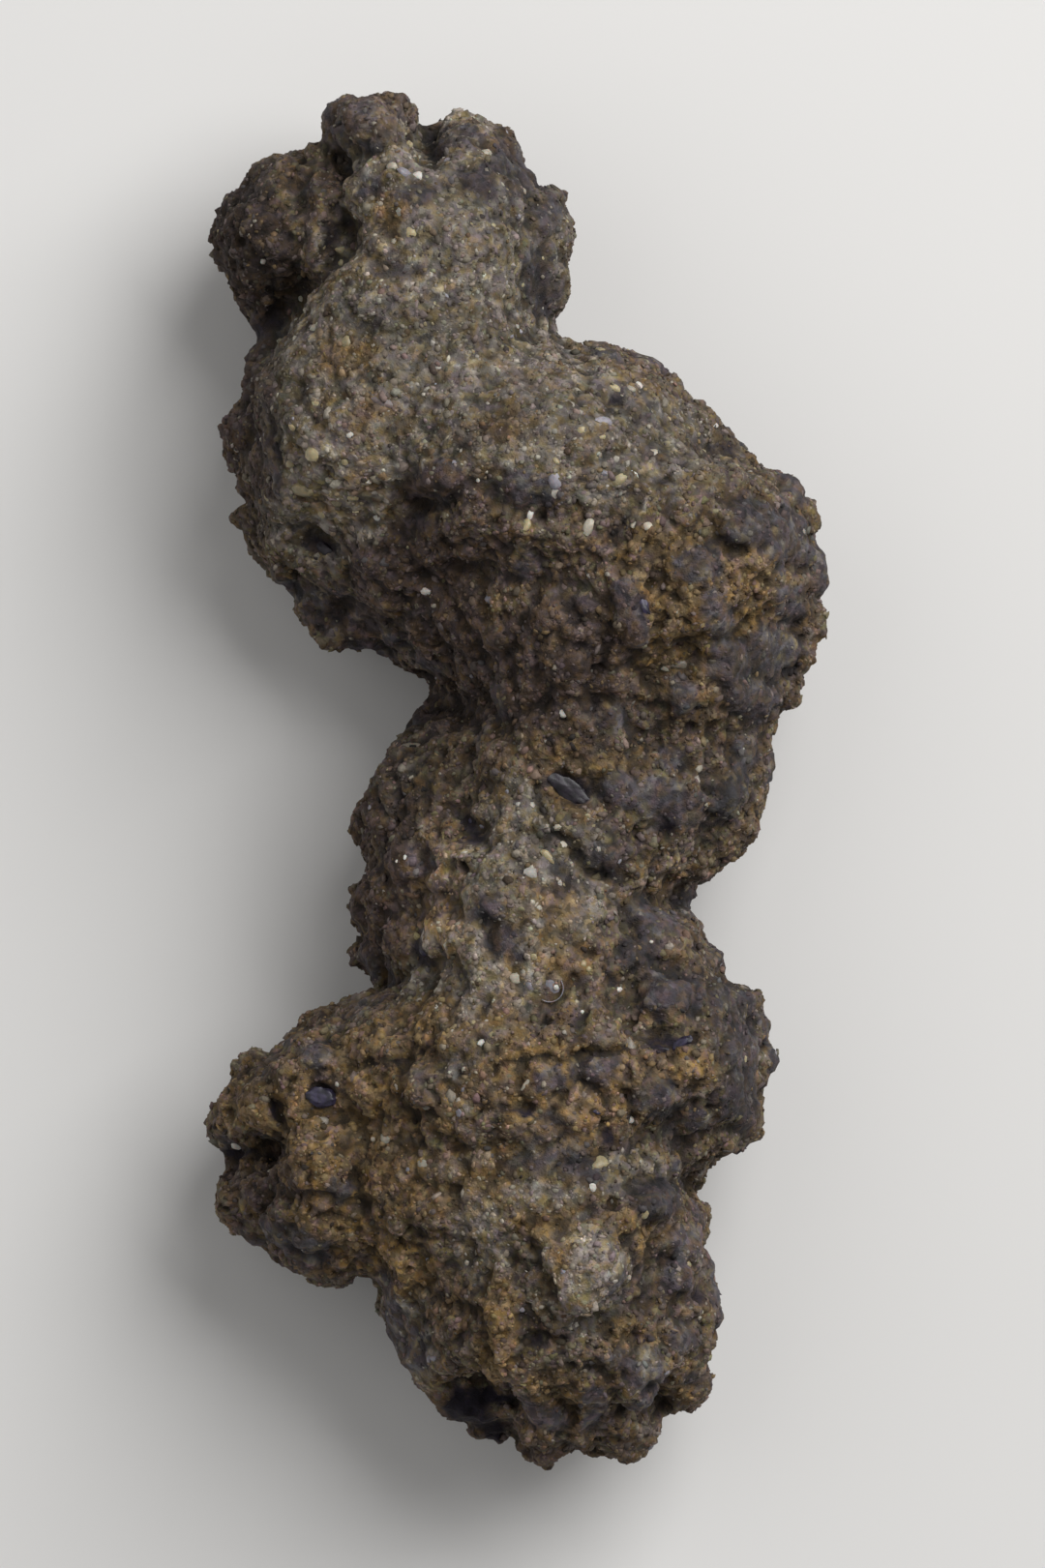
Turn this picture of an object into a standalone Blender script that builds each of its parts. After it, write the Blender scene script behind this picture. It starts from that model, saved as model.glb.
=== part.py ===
"""A coprolite: one lumpy, sand-crusted stone lying on its worn underside.

Metres, +Z up. The long axis runs along Y with the head end at +Y, and the origin is at the middle of the
bounding box, on the plane that the stone rests on. Shapes below are given in millimetres, as read from above,
and are brought to the driving sizes at the end.
"""

import math
import random
from typing import NamedTuple

import bmesh
import bpy
from mathutils import Matrix, Vector, noise
from mathutils.bvhtree import BVHTree

MM = 0.001

# Driving sizes
LENGTH = 100.0 * MM
WIDTH = 45.2 * MM
THICKNESS = 30.0 * MM

# How finely the solid is made
MASS_VOXEL = 0.95 * MM
UNION_VOXEL = 0.75 * MM
FINAL_VOXEL = 0.70 * MM
TRIANGLES = 9300
MASS_SMOOTHING = 9
UNION_SMOOTHING = 1
SMOOTHING_FACTOR = 0.5
MERGE_DISTANCE = 0.001 * MM

# Lobes are balls, stretched, with a flatter top and steeper sides than a round ball has
BLOCKINESS = 2.5
ROUNDNESS = 2.0
LARGE_LOBE = 4.0
LARGE_BALL_FINENESS = 4
SMALL_BALL_FINENESS = 3
KNOB_DEPTH_SHARE = 0.85

# Relief that covers the whole stone: size of a swell or a lump, and how far it stands out
SWELL_SIZE = 10.0 * MM
SWELL_RISE = 0.75 * MM
LUMP_SIZE = 4.6 * MM
LUMP_RISE = 0.50 * MM
CRUMB_SIZE = 2.6 * MM
CRUMB_RISE = 0.34 * MM
CRUMB_MIDDLE = 0.5
LUMP_SHIFT = Vector((7.0, 3.0, 5.0))
UPRIGHT_SQUEEZE = 1.6

# Where a pit and a crease end, in half sizes from their middle, and how they fade out down the flanks
PIT_EDGE = 1.45
CREASE_EDGE = 1.3
FLANK_FADE = 1.6
FLANK_SHARE = 0.45

# Small lumps scattered all over, with sizes in millimetres: half width, share that stands out, and the height
# under which none is placed, so that the worn spot stays clean
SCATTERED_LUMPS = 420
SCATTER_SEED = 5
SCATTER_HALF_WIDTHS = (1.2, 2.6)
SCATTER_STRETCH = (0.8, 1.5)
SCATTER_DEPTH = 0.85
SCATTER_SHARES = (0.26, 0.52)
SCATTER_CLEARANCE = 2.6
REST_PLANE = 0.0

STONE_COLOUR = (0.175, 0.128, 0.082, 1.0)
STONE_ROUGHNESS = 0.92


class Lobe(NamedTuple):
    """One lump of the mass: plan centre, half sizes and turn seen from above, lowest and highest reach."""

    x: float
    y: float
    half_width: float
    half_length: float
    turn: float
    low: float
    high: float


class Nodule(NamedTuple):
    """A knob on the upper surface: plan centre, half sizes, turn, and how far it stands out."""

    x: float
    y: float
    half_width: float
    half_length: float
    turn: float
    rise: float


class Pit(NamedTuple):
    """A hole in the upper surface: plan centre, half sizes, turn, and depth."""

    x: float
    y: float
    half_width: float
    half_length: float
    turn: float
    depth: float


class Groove(NamedTuple):
    """A crease in the upper surface: the line it follows, half its width, and its depth."""

    line: tuple
    half_width: float
    depth: float


HEAD_MASS = (
    Lobe(-6.3, 38.4, 9.0, 8.0, 0, 3.0, 24.8),
    Lobe(-8.3, 42.8, 5.6, 4.0, 0, 4.5, 22.6),
    Lobe(-17.4, 39.6, 4.5, 4.9, 0, 2.5, 17.5),
    Lobe(-7.0, 32.6, 9.0, 6.6, 0, 2.5, 25.6),
)

SHOULDER_MASS = (
    Lobe(-9.0, 26.4, 10.6, 8.2, -8, 2.2, 26.6),
    Lobe(1.6, 22.8, 12.2, 8.4, -18, 1.6, 29.4),
    Lobe(6.6, 26.6, 7.4, 4.6, -22, 4.5, 26.0),
    Lobe(12.0, 16.4, 9.2, 9.0, 0, 2.4, 29.0),
    Lobe(14.0, 20.6, 6.4, 4.4, -35, 4.0, 25.6),
    Lobe(6.0, 11.4, 9.0, 8.4, 0, 1.4, 27.0),
    Lobe(0.4, 12.4, 7.4, 6.6, 0, 1.4, 24.0),
    Lobe(-6.6, 16.2, 7.0, 5.4, 0, 1.0, 21.6),
    Lobe(13.0, 6.6, 6.0, 6.0, 0, 2.0, 24.0),
    Lobe(-14.6, 21.4, 5.4, 5.6, 0, 2.0, 20.0),
)

NECK_MASS = (
    Lobe(4.4, 1.6, 9.4, 7.0, 0, 1.0, 24.6),
    Lobe(2.8, -5.6, 9.2, 7.0, 0, 1.0, 25.6),
    Lobe(-6.2, -2.2, 4.9, 5.6, 0, 2.5, 19.6),
    Lobe(-6.8, -7.4, 4.2, 5.2, 0, 3.0, 19.4),
    Lobe(13.6, -0.6, 5.2, 6.0, 0, 3.0, 20.8),
)

BELLY_MASS = (
    Lobe(1.6, -13.0, 9.6, 6.6, 0, 1.4, 27.0),
    Lobe(1.8, -21.0, 12.2, 8.4, 0, 1.8, 28.0),
    Lobe(11.6, -18.6, 6.4, 7.2, 0, 2.5, 24.4),
    Lobe(-8.0, -20.6, 6.8, 5.0, 12, 2.0, 23.4),
    Lobe(-13.8, -21.8, 6.6, 3.8, 25, 3.5, 20.6),
    Lobe(-13.0, -27.4, 5.8, 4.6, 0, 3.0, 20.6),
    Lobe(-12.8, -31.6, 6.2, 4.2, 0, 2.5, 19.6),
)

TAIL_MASS = (
    Lobe(-5.4, -29.6, 7.0, 7.4, 0, 2.6, 23.8),
    Lobe(3.2, -30.6, 10.6, 8.0, 0, 2.0, 27.0),
    Lobe(2.8, -37.8, 9.8, 8.2, 0, 3.0, 25.4),
    Lobe(10.4, -36.8, 4.4, 6.4, 0, 4.0, 21.4),
    Lobe(3.4, -42.4, 7.6, 4.4, 0, 4.0, 21.0),
)

WORN_FOOT = (
    Lobe(2.2, 3.4, 8.2, 13.5, 12, -1.2, 16.0),
    Lobe(-1.4, -7.6, 7.0, 9.0, -24, -1.0, 16.0),
    Lobe(5.0, -3.0, 5.6, 8.0, -8, -0.9, 16.0),
)

HEAD_LUMPS = (
    Lobe(-10.3, 46.4, 3.5, 3.6, 0, 6.0, 19.5),
    Lobe(-12.4, 47.5, 1.9, 1.7, 0, 8.0, 17.0),
    Lobe(-8.2, 47.4, 1.7, 1.9, 0, 8.0, 17.0),
    Lobe(-3.2, 44.8, 3.3, 3.5, 0, 5.5, 19.5),
    Lobe(-5.0, 46.6, 1.3, 1.4, 0, 8.0, 16.0),
    Lobe(-1.2, 46.0, 1.5, 1.9, 0, 8.0, 17.0),
    Lobe(0.0, 42.6, 1.7, 2.2, 0, 7.0, 18.0),
    Lobe(2.3, 40.5, 2.2, 2.8, 0, 6.5, 18.5),
    Lobe(2.4, 36.2, 2.1, 2.9, 0, 5.5, 18.0),
    Lobe(-20.6, 40.0, 2.2, 2.8, 8, 5.0, 14.5),
    Lobe(-16.6, 43.4, 3.0, 2.6, 0, 4.5, 16.5),
    Lobe(-18.7, 36.2, 2.7, 3.8, 10, 4.0, 14.5),
)

SHOULDER_LUMPS = (
    Lobe(6.8, 30.5, 3.2, 1.5, -14, 8.0, 19.0),
    Lobe(10.5, 28.6, 2.7, 1.7, -35, 8.0, 19.0),
    Lobe(12.9, 26.0, 2.0, 1.7, -35, 8.0, 19.0),
    Lobe(15.4, 23.9, 2.0, 1.6, -35, 8.0, 19.0),
    Lobe(18.8, 21.2, 2.2, 1.7, -25, 7.0, 19.0),
    Lobe(20.3, 19.0, 2.3, 2.2, 0, 6.0, 19.0),
    Lobe(20.7, 15.0, 2.4, 2.8, 0, 5.0, 19.0),
    Lobe(20.6, 11.4, 2.5, 2.6, 0, 5.0, 18.0),
    Lobe(18.7, 7.8, 2.7, 2.5, 0, 5.0, 17.5),
    Lobe(-17.7, 29.7, 2.4, 3.2, -12, 4.0, 16.0),
    Lobe(-18.3, 25.2, 3.2, 3.6, 0, 3.0, 14.0),
    Lobe(-17.6, 18.5, 2.8, 3.7, 20, 3.0, 13.0),
    Lobe(-14.2, 17.0, 4.6, 3.4, 0, 2.5, 16.5),
    Lobe(-12.8, 12.7, 3.7, 2.7, -10, 2.0, 12.0),
    Lobe(-15.8, 15.6, 2.5, 1.7, -20, 3.0, 12.5),
    Lobe(-9.0, 10.5, 4.2, 2.5, -25, 2.0, 12.5),
)

WAIST_LUMPS = (
    Lobe(-8.9, -2.6, 2.6, 3.8, 0, 3.5, 14.0),
    Lobe(-9.5, -9.6, 2.5, 3.0, 0, 3.5, 12.0),
    Lobe(-9.6, -12.6, 2.2, 1.8, 0, 3.5, 11.0),
    Lobe(-6.9, 1.4, 3.4, 2.8, 30, 3.5, 14.0),
    Lobe(15.7, -4.2, 2.2, 2.0, 0, 6.0, 17.5),
    Lobe(16.7, 0.8, 2.2, 3.6, 0, 6.0, 18.0),
    Lobe(17.3, 4.0, 2.0, 2.4, 0, 6.0, 17.0),
    Lobe(11.0, -7.0, 2.5, 1.9, 0, 5.0, 17.0),
    Lobe(12.0, -4.8, 3.4, 2.6, 0, 4.0, 18.0),
    Lobe(11.6, -13.6, 3.8, 4.2, 0, 4.0, 21.5),
)

BELLY_LUMPS = (
    Lobe(16.2, -18.2, 2.4, 3.0, 0, 6.0, 17.5),
    Lobe(17.2, -20.7, 1.9, 1.7, 0, 6.0, 17.0),
    Lobe(16.3, -24.1, 2.3, 1.8, 0, 6.0, 17.0),
    Lobe(13.8, -25.2, 3.4, 3.0, 0, 5.0, 19.0),
    Lobe(-11.8, -17.8, 4.0, 1.9, 28, 5.0, 17.0),
    Lobe(-15.4, -20.0, 3.4, 1.8, 28, 5.0, 17.0),
    Lobe(-18.4, -22.5, 3.4, 2.2, 35, 4.0, 16.5),
    Lobe(-20.2, -25.0, 2.6, 2.6, 0, 5.0, 15.5),
    Lobe(-18.8, -30.3, 3.5, 3.0, 0, 3.5, 14.5),
    Lobe(-16.4, -32.6, 3.6, 2.3, -15, 3.5, 15.0),
    Lobe(-12.8, -34.4, 3.6, 2.7, -15, 3.5, 16.0),
)

TAIL_LUMPS = (
    Lobe(12.3, -35.6, 2.5, 3.0, 0, 5.0, 18.5),
    Lobe(12.3, -39.4, 2.5, 3.0, 0, 5.0, 18.5),
    Lobe(12.5, -32.2, 2.1, 2.3, 0, 5.0, 17.5),
    Lobe(12.3, -43.9, 2.2, 2.3, 0, 6.0, 15.5),
    Lobe(8.0, -46.1, 2.7, 3.2, 0, 5.5, 16.5),
    Lobe(4.0, -45.6, 3.6, 3.0, 0, 4.5, 17.0),
    Lobe(1.9, -48.0, 1.4, 2.1, 0, 6.0, 14.0),
    Lobe(-2.6, -45.0, 3.4, 2.6, -30, 5.0, 17.0),
    Lobe(-5.5, -41.2, 2.7, 3.8, 25, 4.5, 18.0),
    Lobe(-7.2, -36.6, 3.4, 3.0, 0, 3.5, 19.5),
)

NODULES = (
    Nodule(16.4, 18.4, 1.4, 1.5, 0, 0.8),
    Nodule(19.6, 17.3, 1.2, 1.8, 0, 0.9),
    Nodule(14.0, 14.5, 1.4, 1.3, 0, 0.8),
    Nodule(14.7, 11.7, 1.3, 1.4, 0, 0.8),
    Nodule(18.9, 9.6, 1.8, 1.7, 0, 1.0),
    Nodule(15.4, 8.2, 1.6, 1.5, 0, 0.9),
    Nodule(18.2, 6.1, 1.8, 1.4, 0, 0.9),
    Nodule(8.7, 12.4, 1.5, 2.4, 25, 0.8),
    Nodule(11.4, 12.5, 0.9, 3.4, 12, 0.9),
    Nodule(11.6, 6.0, 1.2, 3.0, 0, 0.8),
    Nodule(7.6, -0.9, 1.4, 1.3, 0, 0.8),
    Nodule(15.4, -0.9, 1.2, 1.9, -20, 0.9),
    Nodule(10.8, -1.8, 2.3, 1.9, -20, 1.1),
    Nodule(6.9, -5.5, 1.2, 1.3, 0, 0.8),
    Nodule(8.7, -12.9, 1.1, 1.2, 0, 0.7),
    Nodule(11.1, -15.6, 2.0, 1.7, 0, 1.0),
    Nodule(10.1, -11.1, 1.4, 1.2, 0, 0.7),
    Nodule(-7.8, -6.0, 1.5, 1.4, 0, 0.8),
    Nodule(-5.5, -3.7, 1.3, 1.0, 20, 0.8),
    Nodule(-1.0, -9.0, 2.0, 1.2, 0, 0.7),
    Nodule(-3.6, -11.6, 1.6, 1.3, 0, 0.7),
    Nodule(10.1, -22.7, 1.4, 1.3, 0, 0.7),
    Nodule(16.4, -23.2, 1.1, 2.1, 0, 0.8),
    Nodule(10.4, -30.1, 1.6, 1.4, 0, 0.9),
    Nodule(12.1, -20.6, 2.4, 1.3, -8, 0.9),
    Nodule(-5.0, 21.6, 2.1, 1.7, 15, 1.2),
    Nodule(-6.5, -22.0, 2.1, 2.2, 0, 1.0),
    Nodule(-13.4, -28.0, 2.6, 2.0, 0, 1.0),
    Nodule(-8.3, -35.6, 2.2, 2.0, 0, 1.0),
    Nodule(4.8, -35.3, 3.0, 3.9, 0, 2.2),
    Nodule(12.0, -35.6, 2.2, 2.3, 0, 1.0),
    Nodule(9.2, -42.5, 2.3, 2.2, 0, 1.1),
    Nodule(-1.2, -39.0, 1.0, 4.6, 0, 0.9),
    Nodule(2.2, -46.0, 2.0, 2.2, 0, 0.9),
    Nodule(-8.0, 43.9, 2.0, 1.3, -15, 0.8),
    Nodule(-3.2, 38.0, 2.2, 1.6, 0, 0.7),
    Nodule(-2.0, 45.2, 1.5, 1.5, 0, 0.7),
    Nodule(-10.8, 47.2, 1.9, 1.6, 0, 0.7),
    Nodule(-15.0, 38.0, 1.2, 1.8, 0, 0.7),
    Nodule(-9.2, 27.0, 2.0, 1.5, 0, 0.7),
    Nodule(3.2, 22.5, 2.2, 1.6, -20, 0.7),
    Nodule(7.9, 21.7, 2.0, 1.3, -20, 0.8),
    Nodule(3.6, -3.0, 1.0, 3.0, 38, 0.9),
)

PITS = (
    Pit(15.0, 23.9, 1.3, 0.8, -20, 1.6),
    Pit(7.3, 27.5, 1.0, 0.6, 0, 1.0),
    Pit(-14.9, 17.1, 1.8, 0.8, -25, 1.6),
    Pit(3.8, -0.4, 1.9, 0.9, -30, 1.7),
    Pit(-3.3, -3.4, 1.1, 1.5, 10, 2.0),
    Pit(-6.8, -12.8, 1.2, 1.4, 20, 2.0),
    Pit(-8.0, -9.4, 1.4, 0.9, 0, 1.2),
    Pit(-13.2, 39.6, 1.5, 2.0, 0, 2.2),
    Pit(11.2, -18.7, 2.3, 0.7, 10, 1.9),
    Pit(1.6, -40.3, 1.1, 1.0, 0, 1.7),
    Pit(13.1, -37.6, 1.1, 0.7, 0, 1.2),
    Pit(9.0, -40.3, 1.2, 0.6, 0, 1.0),
    Pit(-2.6, -45.0, 2.9, 1.6, -20, 3.0),
    Pit(-0.6, -46.8, 1.3, 1.6, 30, 1.6),
    Pit(-17.1, -23.9, 0.7, 1.4, 15, 1.4),
    Pit(-14.0, -22.5, 1.4, 0.9, 0, 1.3),
    Pit(-1.6, -11.7, 1.7, 1.0, -45, 1.2),
    Pit(-6.6, 20.4, 1.8, 0.8, 0, 0.9),
    Pit(6.0, -6.6, 1.6, 0.9, -20, 1.6),
)

GROOVES = (
    Groove(((-13.6, 45.4), (-13.6, 43.0), (-13.5, 41.0), (-14.0, 38.0), (-16.2, 35.4), (-18.4, 32.6)), 1.1, 1.9),
    Groove(((-6.6, 48.4), (-6.6, 45.8), (-5.6, 44.6)), 0.9, 1.6),
    Groove(((1.9, -1.4), (3.4, -4.2), (4.9, -6.6), (7.8, -7.6), (12.8, -8.0)), 1.0, 1.6),
    Groove(((8.0, -14.1), (12.6, -13.8)), 0.8, 1.0),
    Groove(((8.4, -15.2), (8.4, -18.0), (9.4, -19.0)), 0.8, 1.1),
    Groove(((-1.5, -20.4), (2.0, -20.2), (4.1, -19.7), (7.4, -19.8)), 0.7, 0.8),
    Groove(((-11.5, -27.2), (-11.2, -29.6), (-10.5, -31.6)), 0.8, 1.1),
    Groove(((-16.8, -31.0), (-13.6, -31.4)), 0.8, 1.1),
    Groove(((-10.7, -38.0), (-10.2, -36.0), (-10.4, -34.0)), 0.9, 1.3),
    Groove(((-5.3, -31.6), (-5.0, -35.6)), 0.8, 1.1),
    Groove(((1.6, -33.6), (2.2, -37.4), (4.1, -39.6), (6.6, -39.0), (8.2, -37.2)), 0.9, 1.4),
    Groove(((6.3, -39.4), (6.4, -41.7), (7.0, -44.6), (7.6, -46.4)), 0.9, 1.5),
    Groove(((4.1, -41.7), (4.6, -44.4), (4.6, -48.6)), 0.8, 1.1),
    Groove(((10.6, -47.0), (10.4, -44.8), (10.0, -43.6)), 0.8, 1.3),
    Groove(((-23.0, -27.6), (-19.6, -27.2), (-17.6, -26.6)), 1.0, 3.2),
    Groove(((11.6, 15.0), (12.6, 12.4), (13.4, 10.0)), 0.9, 1.1),
    Groove(((10.0, 8.8), (10.2, 6.0), (10.6, 3.0)), 0.8, 1.0),
    Groove(((20.0, 4.4), (16.6, 3.6), (14.0, 3.2)), 1.0, 1.3),
    Groove(((-7.4, 6.4), (-4.0, 5.6), (-1.4, 4.2)), 1.3, 1.4),
    Groove(((-11.4, -14.6), (-8.0, -14.8), (-5.0, -14.0)), 1.0, 1.2),
    Groove(((15.2, -15.4), (13.6, -16.4), (13.2, -18.2)), 0.8, 1.0),
    Groove(((14.4, -29.4), (12.0, -29.0), (9.0, -28.6)), 0.9, 1.1),
)


def smooth_step(value):
    """A smooth rise from 0 to 1 while the value goes from 0 to 1."""
    value = min(max(value, 0.0), 1.0)
    return value * value * (3.0 - 2.0 * value)


def add_lump(bm, place, fineness, blockiness):
    """Adds a ball put in place by a matrix; more blockiness gives a flatter top and steeper sides."""
    ball = bmesh.ops.create_icosphere(bm, subdivisions=fineness, radius=1.0)
    for vert in ball["verts"]:
        plan = math.hypot(vert.co.x, vert.co.y) ** blockiness
        vert.co /= (plan + abs(vert.co.z) ** blockiness) ** (1.0 / blockiness)
    bmesh.ops.transform(bm, matrix=place, verts=ball["verts"])


def add_lobe(bm, lobe):
    """Adds one upright lobe, fine enough for its size."""
    middle = Vector((lobe.x, lobe.y, (lobe.low + lobe.high) / 2)) * MM
    sizes = (lobe.half_width * MM, lobe.half_length * MM, (lobe.high - lobe.low) / 2 * MM)
    turn = Matrix.Rotation(math.radians(lobe.turn), 4, "Z")
    large = max(lobe.half_width, lobe.half_length) > LARGE_LOBE
    place = Matrix.Translation(middle) @ turn @ Matrix.Diagonal((*sizes, 1.0))
    add_lump(bm, place, LARGE_BALL_FINENESS if large else SMALL_BALL_FINENESS, BLOCKINESS)


def add_nodule(bm, tree, nodule):
    """Adds a knob that stands out of the upper surface."""
    hit = tree.ray_cast(Vector((nodule.x * MM, nodule.y * MM, LENGTH)), Vector((0.0, 0.0, -1.0)))
    if hit[0] is None:
        return
    top = hit[0].z / MM + nodule.rise
    depth = 2.0 * max(nodule.rise, KNOB_DEPTH_SHARE * min(nodule.half_width, nodule.half_length))
    plan = (nodule.x, nodule.y, nodule.half_width, nodule.half_length, nodule.turn)
    add_lobe(bm, Lobe(*plan, top - depth, top))


def add_scattered_lumps(bm, skin):
    """Scatters small lumps over a closed skin, each leaning with the surface under it."""
    draw = random.Random(SCATTER_SEED)
    skin.normal_update()
    skin.faces.ensure_lookup_table()
    for _ in range(SCATTERED_LUMPS):
        face = skin.faces[draw.randrange(len(skin.faces))]
        half_width = draw.uniform(*SCATTER_HALF_WIDTHS) * MM
        half_length = half_width * draw.uniform(*SCATTER_STRETCH)
        turn = Matrix.Rotation(draw.uniform(0.0, math.pi), 4, "Z")
        half_depth = half_width * SCATTER_DEPTH
        sunk = half_depth * (1.0 - draw.uniform(*SCATTER_SHARES))
        middle = face.calc_center_median() - face.normal * sunk
        if middle.z < SCATTER_CLEARANCE * MM:
            continue
        lean = face.normal.to_track_quat("Z", "Y").to_matrix().to_4x4()
        sizes = Matrix.Diagonal((half_width, half_length, half_depth, 1.0))
        add_lump(bm, Matrix.Translation(middle) @ lean @ turn @ sizes, SMALL_BALL_FINENESS, ROUNDNESS)


def remeshed(bm, voxel, name):
    """The union of everything in the bmesh as one closed skin of even quads."""
    source = bpy.data.meshes.new(name)
    bm.to_mesh(source)
    body = bpy.data.objects.new(name, source)
    bpy.context.scene.collection.objects.link(body)
    skin = body.modifiers.new("skin", "REMESH")
    skin.mode = "VOXEL"
    skin.voxel_size = voxel
    skin.adaptivity = 0.0
    return settled(body)


def settled(body):
    """The body's mesh with its modifiers worked in, as a new bmesh; the body is removed."""
    graph = bpy.context.evaluated_depsgraph_get()
    result = bmesh.new()
    result.from_object(body, graph)
    source = body.data
    bpy.data.objects.remove(body)
    bpy.data.meshes.remove(source)
    return result


def keep_largest_piece(bm):
    """Deletes stray crumbs, so that one closed skin is left."""
    unseen = set(bm.verts)
    pieces = []
    while unseen:
        front = [unseen.pop()]
        piece = list(front)
        while front:
            near = {edge.other_vert(vert) for vert in front for edge in vert.link_edges}
            front = list(near & unseen)
            unseen.difference_update(front)
            piece.extend(front)
        pieces.append(piece)
    pieces.sort(key=len)
    for crumb in pieces[:-1]:
        bmesh.ops.delete(bm, geom=crumb, context="VERTS")


def plan_share(x, y, feature):
    """How near a plan point is to a feature's middle: 1 at the middle, 0 at and past its edge."""
    angle = math.radians(-feature.turn)
    dx = x - feature.x
    dy = y - feature.y
    along = dx * math.cos(angle) - dy * math.sin(angle)
    across = dx * math.sin(angle) + dy * math.cos(angle)
    reach = math.hypot(along / feature.half_width, across / feature.half_length)
    return smooth_step(PIT_EDGE - reach)


def line_distance(x, y, line):
    """The plan distance from a point to a line of straight runs."""
    nearest = math.inf
    for (ax, ay), (bx, by) in zip(line, line[1:]):
        run = math.hypot(bx - ax, by - ay)
        share = ((x - ax) * (bx - ax) + (y - ay) * (by - ay)) / (run * run)
        share = min(max(share, 0.0), 1.0)
        nearest = min(nearest, math.hypot(x - ax - share * (bx - ax), y - ay - share * (by - ay)))
    return nearest


def hollow_depth(x, y):
    """How deep the pits and creases go at a plan point, in millimetres."""
    depth = 0.0
    for pit in PITS:
        depth = max(depth, pit.depth * plan_share(x, y, pit))
    for groove in GROOVES:
        share = smooth_step(CREASE_EDGE - line_distance(x, y, groove.line) / groove.half_width)
        depth = max(depth, groove.depth * share)
    return depth


def relief(place):
    """How far the swells, lumps and crumbs stand out at a point."""
    place = Vector((place.x, place.y, place.z * UPRIGHT_SQUEEZE))
    swell = noise.noise(place / SWELL_SIZE)
    lump = noise.noise(place / LUMP_SIZE + LUMP_SHIFT)
    nearest = noise.voronoi(place / CRUMB_SIZE)[0][0]
    crumb = CRUMB_MIDDLE - nearest
    return swell * SWELL_RISE + lump * LUMP_RISE + crumb * CRUMB_RISE


def carve(bm):
    """Works the relief, the pits and the creases into the skin."""
    bm.normal_update()
    moves = []
    for vert in bm.verts:
        move = relief(vert.co)
        upper = smooth_step(vert.normal.z * FLANK_FADE + FLANK_SHARE)
        move -= hollow_depth(vert.co.x / MM, vert.co.y / MM) * MM * upper
        moves.append(vert.normal * move)
    for vert, move in zip(bm.verts, moves):
        vert.co += move


def thinned(bm, name):
    """The skin with its triangles reduced to the number that the solid may have."""
    bmesh.ops.triangulate(bm, faces=bm.faces[:])
    source = bpy.data.meshes.new(name)
    bm.to_mesh(source)
    share = TRIANGLES / len(bm.faces)
    body = bpy.data.objects.new(name, source)
    bpy.context.scene.collection.objects.link(body)
    fewer = body.modifiers.new("fewer", "DECIMATE")
    fewer.ratio = share
    return settled(body)


def cut_rest_flat(bm):
    """Cuts the worn spot flat on the plane that the stone rests on, and closes it."""
    geometry = bm.verts[:] + bm.edges[:] + bm.faces[:]
    plane = Vector((0.0, 0.0, REST_PLANE))
    upwards = Vector((0.0, 0.0, 1.0))
    bmesh.ops.bisect_plane(
        bm, geom=geometry, dist=MERGE_DISTANCE, plane_co=plane, plane_no=upwards, clear_inner=True
    )
    rim = [edge for edge in bm.edges if edge.is_boundary]
    bmesh.ops.holes_fill(bm, edges=rim, sides=0)
    bmesh.ops.recalc_face_normals(bm, faces=bm.faces[:])


def brought_to_size(bm):
    """Scales the stone to its driving sizes and puts the origin under the middle of its box."""
    lows = [min(vert.co[axis] for vert in bm.verts) for axis in range(3)]
    highs = [max(vert.co[axis] for vert in bm.verts) for axis in range(3)]
    spans = [high - low for low, high in zip(lows, highs)]
    factors = (WIDTH / spans[0], LENGTH / spans[1], THICKNESS / spans[2])
    middle = Vector(((lows[0] + highs[0]) / 2, (lows[1] + highs[1]) / 2, lows[2]))
    place = Matrix.Diagonal((*factors, 1.0)) @ Matrix.Translation(-middle)
    bmesh.ops.transform(bm, matrix=place, verts=bm.verts[:])


def stone_material():
    """Matte brown, sandy stone."""
    material = bpy.data.materials.new("sandy_stone")
    material.use_nodes = True
    shader = material.node_tree.nodes["Principled BSDF"]
    shader.inputs["Base Color"].default_value = STONE_COLOUR
    shader.inputs["Roughness"].default_value = STONE_ROUGHNESS
    shader.inputs["Metallic"].default_value = 0.0
    material.diffuse_color = STONE_COLOUR
    return material


def smoothed(bm, passes):
    """Evens the skin out, so that lumps run into each other."""
    for _ in range(passes):
        bmesh.ops.smooth_vert(
            bm, verts=bm.verts[:], factor=SMOOTHING_FACTOR, use_axis_x=True, use_axis_y=True, use_axis_z=True
        )


def blended_mass():
    """The main masses, run together into one smooth body."""
    bm = bmesh.new()
    for group in (HEAD_MASS, SHOULDER_MASS, NECK_MASS, BELLY_MASS, TAIL_MASS, WORN_FOOT):
        for lobe in group:
            add_lobe(bm, lobe)
    body = remeshed(bm, MASS_VOXEL, "mass")
    bm.free()
    smoothed(body, MASS_SMOOTHING)
    return body


def lumpy_skin():
    """The body with the lumps of its rim and top, and small lumps all over, as one closed skin."""
    bm = blended_mass()
    for group in (HEAD_LUMPS, SHOULDER_LUMPS, WAIST_LUMPS, BELLY_LUMPS, TAIL_LUMPS):
        for lobe in group:
            add_lobe(bm, lobe)
    tree = BVHTree.FromBMesh(bm)
    for nodule in NODULES:
        add_nodule(bm, tree, nodule)
    plain = remeshed(bm, UNION_VOXEL, "plain")
    bm.free()
    bare = plain.copy()
    add_scattered_lumps(plain, bare)
    bare.free()
    skin = remeshed(plain, UNION_VOXEL, "lumps")
    plain.free()
    smoothed(skin, UNION_SMOOTHING)
    return skin


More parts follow.
